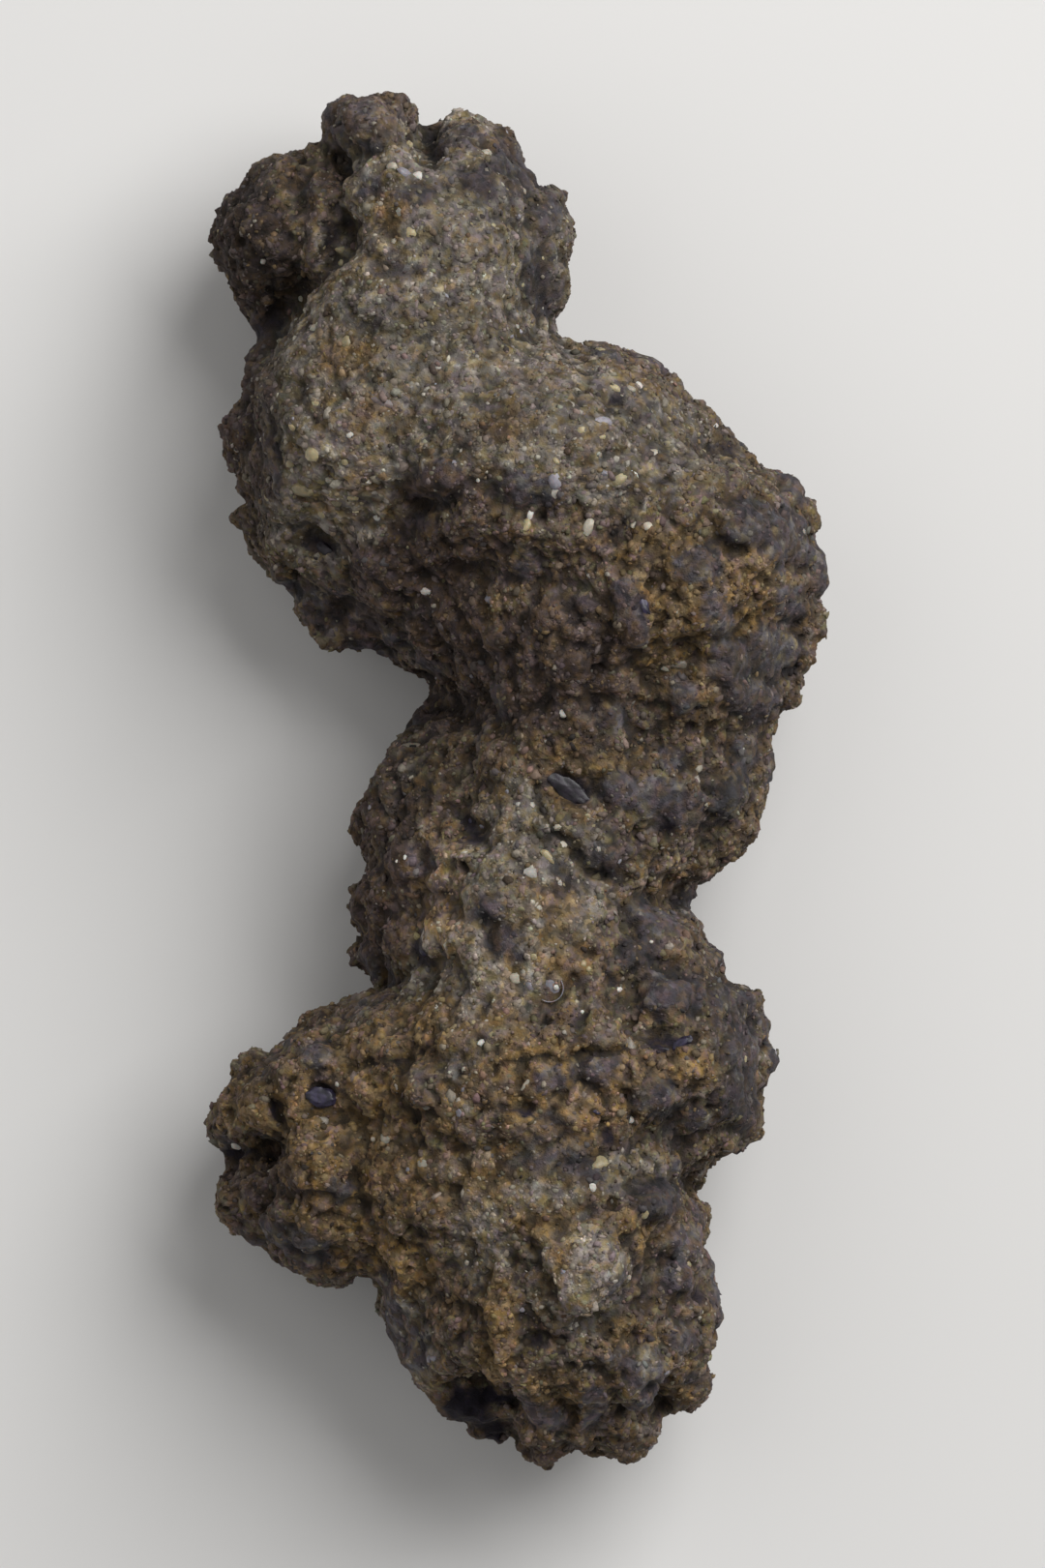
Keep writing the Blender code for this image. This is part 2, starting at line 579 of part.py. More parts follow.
def build_coprolite():
    """Builds the stone as one closed solid."""
    skin = lumpy_skin()
    carve(skin)
    even = remeshed(skin, FINAL_VOXEL, "skin")
    skin.free()
    keep_largest_piece(even)
    stone = thinned(even, "stone")
    even.free()
    cut_rest_flat(stone)
    brought_to_size(stone)
    bmesh.ops.triangulate(stone, faces=stone.faces[:])
    mesh = bpy.data.meshes.new("coprolite")
    stone.to_mesh(mesh)
    stone.free()
    mesh.materials.append(stone_material())
    body = bpy.data.objects.new("coprolite", mesh)
    bpy.context.scene.collection.objects.link(body)


for leftover in list(bpy.data.objects):
    bpy.data.objects.remove(leftover)
build_coprolite()
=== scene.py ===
"""The looks of a coprolite: a lumpy natural stone in a crust of sand, with nodules, cracks and glossy pits.

The scene is in metres. Places and sizes in the lists and classes are in millimetres unless they say
otherwise, with +X to the right and +Y towards the head end, as the stone is seen from above.
"""

import logging
import math
from dataclasses import dataclass
from enum import Enum

import bmesh
import bpy
import numpy as np
from mathutils import Matrix, Vector, noise
from mathutils.bvhtree import BVHTree


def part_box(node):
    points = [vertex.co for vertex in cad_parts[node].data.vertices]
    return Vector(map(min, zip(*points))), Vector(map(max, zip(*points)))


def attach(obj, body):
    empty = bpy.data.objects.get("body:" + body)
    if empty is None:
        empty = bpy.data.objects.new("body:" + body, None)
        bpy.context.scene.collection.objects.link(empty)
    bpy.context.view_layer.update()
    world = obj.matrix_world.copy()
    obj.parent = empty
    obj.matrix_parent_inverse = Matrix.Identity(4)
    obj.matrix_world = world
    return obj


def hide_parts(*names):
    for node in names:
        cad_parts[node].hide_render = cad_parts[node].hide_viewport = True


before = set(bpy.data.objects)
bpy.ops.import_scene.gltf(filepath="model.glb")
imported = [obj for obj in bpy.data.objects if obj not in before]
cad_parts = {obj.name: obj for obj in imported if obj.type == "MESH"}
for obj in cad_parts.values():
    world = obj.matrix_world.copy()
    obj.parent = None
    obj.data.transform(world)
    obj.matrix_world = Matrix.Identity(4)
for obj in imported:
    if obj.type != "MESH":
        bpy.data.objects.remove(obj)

MM = 0.001
NODE = "coprolite"
BODY = "root"
TINT = "tint"
LOWEST = 0.02

log = logging.getLogger(NODE)


class Tone(Enum):
    """Colours of the stone, its grains and its inclusions, as 8-bit sRGB."""

    BONE = (154, 148, 138)
    SAND = (130, 122, 109)
    MAUVE = (116, 103, 100)
    DUST = (108, 100, 88)
    OLIVE = (96, 89, 62)
    LOAM = (92, 75, 51)
    OCHRE = (116, 96, 64)
    AMBER = (130, 104, 64)
    RUST = (94, 72, 48)
    STEEL = (78, 75, 76)
    SLATE = (56, 53, 57)
    PLUM = (78, 65, 66)
    UMBER = (64, 50, 38)
    SOOT = (36, 29, 26)
    QUARTZ = (160, 153, 138)
    STRAW = (150, 138, 106)
    # White of chalk specks, also a painted highlight on the shell.
    CHALK_AND_GLINT = (192, 188, 180)
    LILAC = (130, 126, 133)
    # Black of tar, also painted as the shade in holes, slots and pits.
    TAR = (30, 23, 33)
    DUSK = (44, 39, 60)
    MOSS = (98, 95, 77)
    ROSE = (108, 86, 80)
    WARM = (250, 240, 205)
    COOL = (232, 236, 246)

    @property
    def linear(self) -> tuple[float, float, float, float]:
        """The colour as linear light, with full alpha."""
        shares = [level / 255.0 for level in self.value]
        light = [s / 12.92 if s <= 0.04045 else ((s + 0.055) / 1.055) ** 2.4 for s in shares]
        return (light[0], light[1], light[2], 1.0)


@dataclass(frozen=True)
class Oval:
    """An oval patch seen from above: its middle, half sizes and turn in degrees, and its strength."""

    x: float
    y: float
    half_width: float
    half_length: float
    turn: float = 0.0
    strength: float = 1.0

    def reach(self, plan: np.ndarray) -> np.ndarray:
        """How far plan points lie from the middle, where 1 is the rim.

        Args:
            plan: The points' x and y in millimetres, one row each.

        Returns:
            One number for each point.
        """
        angle = math.radians(self.turn)
        dx = plan[:, 0] - self.x
        dy = plan[:, 1] - self.y
        along = dx * math.cos(angle) + dy * math.sin(angle)
        across = dy * math.cos(angle) - dx * math.sin(angle)
        return np.hypot(along / self.half_width, across / self.half_length)

    def boxy(self, plan: np.ndarray) -> np.ndarray:
        """Like reach, for a block with rounded corners.

        Args:
            plan: The points' x and y in millimetres, one row each.

        Returns:
            One number for each point.
        """
        angle = math.radians(self.turn)
        dx = plan[:, 0] - self.x
        dy = plan[:, 1] - self.y
        along = np.abs(dx * math.cos(angle) + dy * math.sin(angle)) / self.half_width
        across = np.abs(dy * math.cos(angle) - dx * math.sin(angle)) / self.half_length
        return (along ** 3 + across ** 3) ** (1.0 / 3.0)


@dataclass(frozen=True)
class SideLump:
    """A nodule on the side walls or the underside, which the photo does not show."""

    middle: np.ndarray
    half_size: float

    def reach(self, points: np.ndarray) -> np.ndarray:
        """How far points lie from the middle, where 1 is the rim."""
        return np.linalg.norm(points - self.middle, axis=1) / self.half_size


@dataclass(frozen=True)
class Crack:
    """A crack or crease in the upper surface: the line that it follows, half its width and its depth."""

    line: tuple[tuple[float, float], ...]
    half_width: float
    depth: float

    def distance(self, plan: np.ndarray) -> np.ndarray:
        """The distance from plan points to the crack's line.

        Args:
            plan: The points' x and y in millimetres, one row each.

        Returns:
            One distance for each point, in millimetres.
        """
        nearest = np.full(len(plan), np.inf)
        for start, end in zip(self.line, self.line[1:]):
            a = np.array(start)
            run = np.array(end) - a
            share = np.clip(((plan - a) @ run) / (run @ run), 0.0, 1.0)
            gap = plan - a - share[:, None] * run
            nearest = np.minimum(nearest, np.hypot(gap[:, 0], gap[:, 1]))
        return nearest


def smooth_step(values: np.ndarray) -> np.ndarray:
    """A smooth rise from 0 to 1 while the values go from 0 to 1."""
    held = np.clip(values, 0.0, 1.0)
    return held * held * (3.0 - 2.0 * held)


class Grit:
    """Noise read at many points at once, each kind with its own grain size in millimetres."""

    ASIDES = (Vector((9.3, -1.5, -8.0)), Vector((0.0, 0.0, 0.0)), Vector((6.3, 0.2, -2.7)))

    @staticmethod
    def swell(points: np.ndarray, size: float, shift: float) -> np.ndarray:
        """Soft noise from about -1 to 1.

        Args:
            points: Places in millimetres.
            size: The size of one swell.
            shift: Moves the pattern, so that no two are alike.

        Returns:
            One number for each point.
        """
        return np.array([noise.noise(place) for place in (points / size + shift).tolist()])

    @staticmethod
    def fractal(points: np.ndarray, size: float, shift: float, octaves: int) -> np.ndarray:
        """Rough noise of several sizes on top of each other.

        Args:
            points: Places in millimetres.
            size: The size of the largest swell.
            shift: Moves the pattern.
            octaves: How many ever finer layers it has.

        Returns:
            One number for each point.
        """
        places = (points / size + shift).tolist()
        return np.array([noise.fractal(place, 0.9, 2.1, octaves) for place in places])

    @staticmethod
    def clotted(points: np.ndarray, size: float, shift: float, octaves: int) -> np.ndarray:
        """Rounded clots with sharp creases between them, from about -1 to 1.

        Args:
            points: Places in millimetres.
            size: The size of the largest clots.
            shift: Moves the pattern.
            octaves: How many ever finer layers it has.

        Returns:
            One number for each point.
        """
        places = (points / size + shift).tolist()
        heights = np.array([noise.turbulence(place, octaves, True) for place in places])
        return heights * 2.4 - 1.0

    @classmethod
    def cells(cls, points: np.ndarray, size: float, shift: float) -> tuple[np.ndarray, ...]:
        """Cells packed against each other, as clods are.

        Args:
            points: Places in millimetres.
            size: The size of one cell.
            shift: Moves the pattern.

        Returns:
            The distance to the cell's middle, how much farther the next one is, a number from 0 to 1 that
            is the same all over a cell, and how far up the cell's own slope each point lies.
        """
        near, gap, draw, slope = [], [], [], []
        for place in (points / size + shift).tolist():
            distances, middles = noise.voronoi(place)
            middle = middles[0]
            near.append(distances[0])
            gap.append(distances[1] - distances[0])
            draw.append(noise.cell(middle * 7.31))
            lean = Vector([noise.noise(middle * 3.7 + aside) for aside in cls.ASIDES])
            slope.append((Vector(place) - middle).dot(lean))
        return np.array(near), np.array(gap), np.array(draw) * 0.5 + 0.5, np.array(slope)

    @staticmethod
    def spots(points: np.ndarray, size: float, shift: float) -> tuple[np.ndarray, np.ndarray]:
        """Scattered spots.

        Args:
            points: Places in millimetres.
            size: How far apart the spots are.
            shift: Moves the pattern.

        Returns:
            The distance to the nearest spot, and a number from 0 to 1 that belongs to it.
        """
        near, draw = [], []
        for place in (points / size + shift).tolist():
            distances, middles = noise.voronoi(place)
            near.append(distances[0])
            draw.append(noise.cell(middles[0] * 5.17))
        return np.array(near), np.array(draw) * 0.5 + 0.5


SANDY = (
    Oval(-5, 37, 9, 8.5), Oval(-9, 30, 9, 5.5), Oval(0, 26.5, 15, 5, -14), Oval(-13.5, 23.5, 6, 7.5),
    Oval(-10, 46.5, 4, 3, 0, 0.6), Oval(1.6, -6.5, 5, 6.5), Oval(-2.6, -13.6, 5, 4.5),
    Oval(4.8, -35.6, 3.3, 3.8, 0, 1.3), Oval(2, -28.5, 9, 2.2, 4, 0.8),
    Oval(-8.4, -40.4, 2.2, 4.6, 20, 0.8), Oval(-2.4, -33.4, 2.4, 3.2, 0, 0.6),
    Oval(11.8, 8.2, 1.4, 0.8, 0, 0.8), Oval(-3.6, 47.2, 2.6, 1.5, 0, 0.7),
    Oval(-3.6, -21, 2, 3, 0, 0.4),
)

RUSTY = (
    Oval(14, 12, 7.6, 7.6, 0, 0.55), Oval(14.6, 13.4, 0.9, 0.8, 0, 0.9),
    Oval(10.6, 12.2, 0.8, 3, 10, 0.8), Oval(3, 10, 7, 5, 0, 0.45), Oval(4, -1.9, 1.9, 0.9, -32),
    Oval(6, 0.6, 5, 1.4, 10, 0.35), Oval(12, -20.6, 2.7, 1.1, -6), Oval(3.4, -21.8, 6.6, 3.6, 0, 0.85),
    Oval(-14, -23.6, 7, 4.2, 24, 0.9), Oval(-13.2, -28, 4.4, 3, 0, 0.95),
    Oval(-13, -32.2, 4.4, 2.2, 0, 0.7), Oval(-8.2, -35.2, 2.4, 2.2), Oval(-1.3, -39.4, 1.3, 3.9),
    Oval(2.4, -31.6, 2.2, 1.1, 10, 0.9), Oval(-8.8, 41.2, 1.6, 1.3, 0, 0.7),
    Oval(-6.6, -29, 6, 3.4, 0, 0.6), Oval(-6.6, -18.2, 5, 2.2, 20, 0.6),
    Oval(8.8, -32.6, 1.6, 2.2, 0, 0.4), Oval(7.4, -40.2, 2, 2, 0, 0.6), Oval(0.6, -10.6, 7, 5, 0, 0.35),
    Oval(3.4, -44, 2, 2, 0, 0.6), Oval(12, -43.4, 2.4, 2.4, 0, 0.4), Oval(8.6, 24.4, 4, 1.8, 0, 0.35),
    Oval(-12, 27.6, 2.4, 4.6, 0, 0.4), Oval(-10.6, -33.6, 3, 2.4, 0, 0.8), Oval(2, 25, 3, 1.6, 0, 0.45),
    Oval(-12, 20.4, 3, 2, 0, 0.3), Oval(-4, -25, 5, 3, 0, 0.5),
)

SLATY = (
    Oval(17, 18.2, 2.1, 1.9), Oval(19.4, 17.4, 1.4, 2), Oval(13.3, 15.4, 1.7, 1.4),
    Oval(18.8, 9.4, 2, 2), Oval(15.5, 8.4, 1.8, 1.7), Oval(17.5, 5.8, 2.1, 1.7),
    Oval(20.2, 12.7, 1.4, 1.3), Oval(14.6, 11.9, 1.2, 1.9, 16), Oval(8.6, 12.4, 1.1, 2.1, 20),
    Oval(11.2, -1.8, 2.8, 1.9, -20, 0.8), Oval(15.5, -1.2, 1.3, 2.1, -20, 0.8),
    Oval(7.6, -0.8, 1.5, 1.4, 0, 0.8), Oval(6.8, -5.6, 1.4, 1.3, 0, 0.7),
    Oval(13.4, -8.8, 2.2, 1.6, 0, 0.5), Oval(8.9, -12.6, 1.5, 1.4, 0, 0.8),
    Oval(11.3, -15.4, 2.1, 1.7, 0, 0.9), Oval(16, -18, 1.9, 3.2, 0, 0.5),
    Oval(16.4, -23.2, 1.3, 2.3, 0, 0.9), Oval(10.2, -22.8, 1.7, 1.6, 0, 0.8),
    Oval(10.4, -30.2, 1.8, 1.6, 0, 0.9), Oval(12.2, -35.8, 2.2, 4.6, 0, 0.45),
    Oval(9.4, -42.9, 1.7, 1.7, 0, 0.8), Oval(-8, -40.4, 1.6, 3.2, 22, 0.6),
    Oval(-5.6, 21.6, 2.2, 1.6, 12, 0.9), Oval(0.4, 20.9, 1.6, 1.4, 0, 0.6),
    Oval(5.6, -21, 1.4, 1, 0, 0.6), Oval(-7, -22, 1.8, 1.9, 0, 0.35),
    Oval(-12.4, 11.4, 4, 1.7, -32, 0.8), Oval(-14.4, -20, 1.5, 1.1, 0, 0.7),
    Oval(-8, -6, 1.7, 1.6, 0, 0.8), Oval(-1.8, -9.2, 1.5, 1.2, 0, 0.6),
    Oval(-0.8, -11.8, 1.6, 1.2, -45, 0.8), Oval(-15.4, -33.6, 2.6, 1.3, 0, 0.5),
    Oval(7.2, -41.8, 1, 0.9, 0, 0.7), Oval(-0.4, 45, 1.2, 1.5, 0, 0.8),
    Oval(15.4, -12, 1.4, 1.2, 0, 0.5), Oval(2.6, 20.8, 1.6, 1.2, 0, 0.6),
    Oval(2.6, 40.8, 1.3, 2.2, 0, 0.5), Oval(-7, 42.2, 1.6, 0.7, 0, 0.7),
    Oval(3.4, 13.4, 1.4, 0.8, -20, 0.7), Oval(5.4, -45.8, 0.8, 1.6, 15, 0.6),
    Oval(-7.5, 18, 1.6, 0.7, 30, 0.7), Oval(-9.6, 47.4, 3.6, 2.4, 0, 0.42),
    Oval(-1.6, 43.2, 3.4, 1.6, 0, 0.55), Oval(2.4, 36.4, 1.8, 3, 0, 0.6),
    Oval(-5.4, 45.6, 1.2, 1.6, 0, 0.4), Oval(8, 27.4, 4, 1.4, -20, 0.35),
    Oval(-11, 43, 1.4, 1.4, 0, 0.5), Oval(3.6, -28, 3, 1, 0, 0.35), Oval(13.4, -43.4, 1.3, 1, 0, 0.6),
    Oval(-10.4, 48, 1.6, 1, 0, 0.4), Oval(-3.8, 46.8, 1.4, 1, 0, 0.4),
)

# Dark earth and painted shade. The patches on the ear's left side, the left flank, the slope under the
# shoulder that faces down to the left, the crease beside the ear and the cavity near the tail are painted
# shade, on sides turned from the upper-right light and in recesses.
DARK_AND_SHADED = (
    Oval(0, 8, 10, 5.6, 0, 0.75), Oval(-7, 14, 7, 5, 0, 0.8), Oval(-19.4, 38.6, 3.6, 6, 0, 0.85),
    Oval(-9.6, -5, 2.8, 9, 0, 0.7), Oval(-2.8, -45.6, 4.6, 2, -20, 0.5),
    Oval(-19.6, 26, 2.4, 9, 0, 0.7), Oval(-5.2, 20.4, 3.4, 1.8, 0, 0.8), Oval(-19, -29, 3, 3, 0, 0.6),
    Oval(3, -48.4, 3, 1.4, 0, 0.4), Oval(-11, 48, 4, 2.2, 0, 0.5), Oval(-1, 46.4, 3, 2, 0, 0.4),
    Oval(-13.4, 40.2, 0.9, 3, 0, 0.6),
)

# Tar and painted shade, laid on in black. The cavity near the tail, the slots, notches and creases and the
# small pits are painted black as the shade in them; the leaf, the crescent and the dark facets are tar.
TARRY_AND_SHADED = (
    Oval(-2.35, -44.6, 1.35, 0.85, -4), Oval(-4.2, -45.2, 0.75, 1.3), Oval(-3.1, -45.7, 1.5, 1, -10),
    Oval(-1.9, -47, 1.7, 0.85, -48), Oval(-0.7, -44.9, 0.9, 0.36, 20),
    Oval(-17.3, -24, 0.32, 0.95, 24, 0.9), Oval(1.6, -40.3, 0.8, 0.5, 14, 0.6),
    Oval(-13.3, 39.4, 0.6, 1.2, 0, 0.7), Oval(-12.2, 40.2, 0.8, 0.4, 0, 0.5),
    Oval(-18, 32.8, 1.4, 0.5, 20, 0.8), Oval(-20.4, -27.4, 1.8, 0.4, 0, 0.8),
    Oval(6.7, -25.4, 0.35, 0.5), Oval(0.6, -23.7, 0.8, 0.3), Oval(15, 24, 0.9, 0.35, -10, 0.7),
    Oval(7.2, 27.5, 0.6, 0.25, 0, 0.8), Oval(13.3, -37.5, 0.6, 0.35, 0, 0.8),
    Oval(9.2, -40.2, 0.8, 0.25, -4, 0.9), Oval(11.3, -3.7, 0.6, 0.3, 20),
    Oval(-6.7, -22.6, 0.4, 1.4, 0, 0.4), Oval(9.4, 12.3, 0.4, 0.9, 20, 0.9),
    Oval(-14.2, 17, 1.6, 0.5, -30, 0.9), Oval(-3.2, -3.2, 0.8, 0.75, 8, 0.9),
    Oval(-2.8, -4.1, 0.5, 0.5, 0, 0.9), Oval(-6.8, -12.2, 0.6, 0.7, 20, 0.9),
    Oval(-6.3, -13.3, 0.75, 0.45, -30, 0.9), Oval(-14, -22.2, 1.05, 0.4, 0, 0.9),
    Oval(3.95, -0.65, 1.9, 0.8, -36, 0.9), Oval(11.3, -19.1, 1.6, 0.42, 8, 0.95),
)

CRACKS = (
    Crack(((-13.6, 45.6), (-13.7, 43), (-13.4, 41), (-13.6, 38.6), (-15.6, 35.6), (-18.8, 32.5)), 0.3, 0.4),
    Crack(((-14.2, 46.4), (-13, 45.4), (-11, 45), (-9, 45.8), (-7.4, 46.2)), 0.3, 0.5),
    Crack(((-5, 44.4), (-3.4, 44.2), (-1.6, 43.6), (0.6, 43.8)), 0.26, 0.3),
    Crack(((-6.7, 48.6), (-6.5, 46.2), (-5.8, 44.4)), 0.4, 0.6),
    Crack(((1.6, -0.4), (2, -2), (2.9, -3.7), (4.6, -5.2), (5, -6.3), (6.6, -7.1), (7.9, -7.3)), 0.36, 0.7),
    Crack(((6.3, -5), (6.2, -6.8)), 0.28, 0.6), Crack(((-4.9, -5.9), (-2.7, -6.7)), 0.35, 0.5),
    Crack(((9.3, -14.4), (12.4, -14.2)), 0.26, 0.3),
    Crack(((8.7, -15.1), (8.6, -18.3), (9.8, -19)), 0.3, 0.4),
    Crack(((9.8, -19), (11.3, -19.4), (13, -18.4)), 0.32, 0.35),
    Crack(((-1, -20.3), (1.9, -19.9), (3.6, -20.1), (4.7, -19.6), (6.9, -19.75), (7.8, -19.4)), 0.28, 1),
    Crack(((4.7, -19.6), (4.8, -21.7), (3.8, -22.4), (3, -23.9)), 0.24, 0.6),
    Crack(((4.8, -21.7), (5.8, -22), (6.5, -22.8), (6.7, -23.7)), 0.24, 0.9),
    Crack(((1, -20.2), (0.4, -22.2), (1.4, -23.6)), 0.26, 0.4),
    Crack(((5.5, -23.7), (6.2, -24)), 0.3, 0.6),
    Crack(((8.2, -20.4), (8, -22.4), (8.4, -24.4)), 0.4, 0.6),
    Crack(((1.4, -33.2), (1.9, -36.6), (2.8, -38.9), (4.4, -39.9)), 0.3, 0.4),
    Crack(((6, -40.4), (6.7, -39.3), (8.2, -38.4), (9.5, -38.2)), 0.3, 0.4),
    Crack(((6, -40.4), (6, -42), (6.9, -43.5), (7.4, -45.2), (8.2, -46.3)), 0.32, 0.4),
    Crack(((3.2, -41.4), (4.2, -43.4), (4.4, -46.4)), 0.3, 0.3),
    Crack(((10.7, -45.8), (10.4, -44.6), (9.9, -43.8)), 0.3, 0.5),
    Crack(((-22.8, -27.4), (-20.6, -27.3), (-18.6, -27), (-17.4, -26.2)), 0.36, 1.5),
    Crack(((-17.6, -23.2), (-16.8, -24.9)), 0.3, 1.1),
    Crack(((-16.8, -30.9), (-14.8, -31.2), (-12.6, -31.4)), 0.28, 0.3),
    Crack(((-11.7, -27.9), (-10.8, -31.2), (-9.9, -33.4), (-10.8, -35.3), (-10.8, -37)), 0.32, 0.5),
    Crack(((-5.1, -32.4), (-4.9, -34.7), (-5.3, -36.6)), 0.3, 0.3),
    Crack(((-8.2, -20.6), (-8.3, -22.8), (-7.1, -24.4), (-5.8, -23.8)), 0.4, 0.8),
    Crack(((-10.6, -20.4), (-8.3, -20.4), (-6.4, -19.5)), 0.35, 0.7),
    Crack(((11.8, 13.9), (12.3, 11.4), (13.6, 10.3)), 0.3, 0.3),
    Crack(((9.6, 7.6), (9.9, 6), (10.1, 4.4)), 0.3, 0.3),
    Crack(((19.8, 4.4), (17, 3.8), (14, 3.4)), 0.3, 0.3),
    Crack(((16.6, 16.4), (15.4, 16.6), (14.8, 17.4)), 0.35, 0.6),
    Crack(((-7.4, 19.8), (-5.6, 19.6), (-3.8, 20.2)), 0.45, 0.6),
    Crack(((8, 22.4), (10.4, 21.4), (12.6, 21.8)), 0.35, 0.4),
    Crack(((9.8, -29), (12.2, -29.2), (14.2, -29.8)), 0.3, 0.4),
    Crack(((8.4, -33.2), (9, -35.4), (9.4, -37.6)), 0.4, 0.5),
)

PITS = (
    Oval(-2.35, -44.6, 1.4, 0.9, -4, 0.3), Oval(-4.2, -45.2, 0.8, 1.3, 0, 0.3),
    Oval(-1.9, -47, 1.7, 0.9, -48, 0.3), Oval(-0.7, -44.9, 0.9, 0.4, 20, 0.4),
    Oval(1.6, -40.3, 1, 0.7, 14, 0.5), Oval(-13.3, 39.4, 0.7, 1.3, 0, 0.6),
    Oval(15.1, 24, 1.2, 0.5, -10, 0.7), Oval(7.2, 27.5, 0.8, 0.35, 0, 0.6),
    Oval(13.3, -37.5, 0.8, 0.45, 0, 0.8), Oval(9.2, -40.2, 1, 0.35, -4, 0.8),
    Oval(11.3, -3.7, 0.7, 0.45, 20, 0.8), Oval(6.7, -25.4, 0.45, 0.6, 0, 0.7),
    Oval(0.6, -23.7, 0.9, 0.35, 0, 0.6), Oval(4, -0.7, 1.7, 0.75, -36, 0.5),
    Oval(-3.1, -3.5, 0.8, 1.1, 8, 0.35), Oval(-6.6, -12.7, 0.8, 1.1, 20, 0.4),
    Oval(-4.6, 43.1, 0.5, 0.35, 0, 0.5), Oval(9.4, 12.3, 0.5, 1.1, 20, 0.6),
    Oval(-14.1, -22.4, 1.1, 0.5, 0, 0.35), Oval(-14.2, 17, 1.6, 0.5, -30, 0.3),
    Oval(17.4, 13, 0.45, 0.4, 0, 0.5), Oval(18, 14.4, 0.4, 0.4, 0, 0.5),
    Oval(15.7, 14.4, 0.4, 0.4, 0, 0.5), Oval(-2, -11, 1.3, 0.6, -45, 0.5),
    Oval(12.9, -43.5, 0.6, 0.5, 0, 0.6), Oval(-12, 40.2, 1, 0.35, 0, 0.5),
    Oval(-17.6, 41.5, 0.3, 0.9, -25, 0.4), Oval(-9.5, 43.9, 0.3, 0.25, 0, 0.4),
    Oval(12.2, 16.4, 0.3, 0.3, 0, 0.4), Oval(-17.3, -24, 0.4, 1, 24, 0.8),
)

# Patches painted lighter (LIGHTS) or darker (SHADES) on the upper surface. The darker ones on the ear's left
# side, the left flanks and the waist's left edge are painted shade, away from the upper-right light.
LIGHTS = (
    Oval(5, -35.3, 2.9, 3.4, 0, 0.42), Oval(-13, 22.4, 3.4, 3.2, 0, 0.35),
    Oval(5, 15.4, 4.4, 1.8, -10, 0.45), Oval(-8.2, -35.4, 2.2, 2, 0, 0.5),
    Oval(12, -20.7, 2.6, 1.1, -6, 0.35), Oval(-6, -25, 4, 4, 0, 0.28),
    Oval(3.6, -21.8, 5.4, 3.2, 0, 0.25), Oval(-2, -32.6, 4, 3, 0, 0.2),
    Oval(12.2, -35.6, 1.8, 3.4, 0, 0.3), Oval(9.6, -42, 2.8, 2.6, 0, 0.25),
    Oval(-8.2, -40.6, 1.8, 4, 20, 0.3), Oval(0, -14.4, 3, 1.6, 0, 0.2), Oval(-15.4, 41.6, 2, 3, 0, 0.3),
    Oval(2, -31.4, 2.4, 1, 0, 0.2), Oval(-5.9, -8.8, 2.2, 4.8, 0, 1.1),
    Oval(11, -6.8, 2.2, 1.5, 0, 0.6), Oval(-9.8, -34.4, 3, 2.2, 0, 0.5),
    Oval(-11, 20.4, 3.4, 2.6, 0, 0.65), Oval(-0.6, -43.2, 2.6, 1.4, 0, 0.7),
    Oval(-6.2, -43.2, 1.4, 2, 20, 0.6), Oval(0.6, -46.4, 1.4, 1.4, 0, 0.6),
    Oval(5.4, -46.4, 3.2, 2.2, 0, 0.5), Oval(-9.6, -24, 3.4, 3, 0, 0.3),
    Oval(2.6, -14.8, 2, 1.8, 0, 0.4), Oval(8.6, -16.4, 1.6, 2, 0, 0.35),
    Oval(-20.4, -24.8, 1.8, 1.6, 0, 0.4), Oval(15.4, 12.4, 1.8, 1.8, 0, 0.35),
    Oval(-2.4, 17.2, 3.4, 1.8, 0, 0.35), Oval(-10.4, 10.8, 2.8, 1.6, -30, 0.3),
    Oval(-1.6, -3, 1.6, 1.8, 0, 0.25), Oval(-8.4, -36.6, 1.8, 2, 0, 0.3),
    Oval(9.6, -34.8, 1.4, 1.8, 0, 0.3), Oval(-2, 14.2, 4, 1.4, 0, 0.2),
    Oval(9.2, 10.4, 1.4, 1.4, 0, 0.25),
)

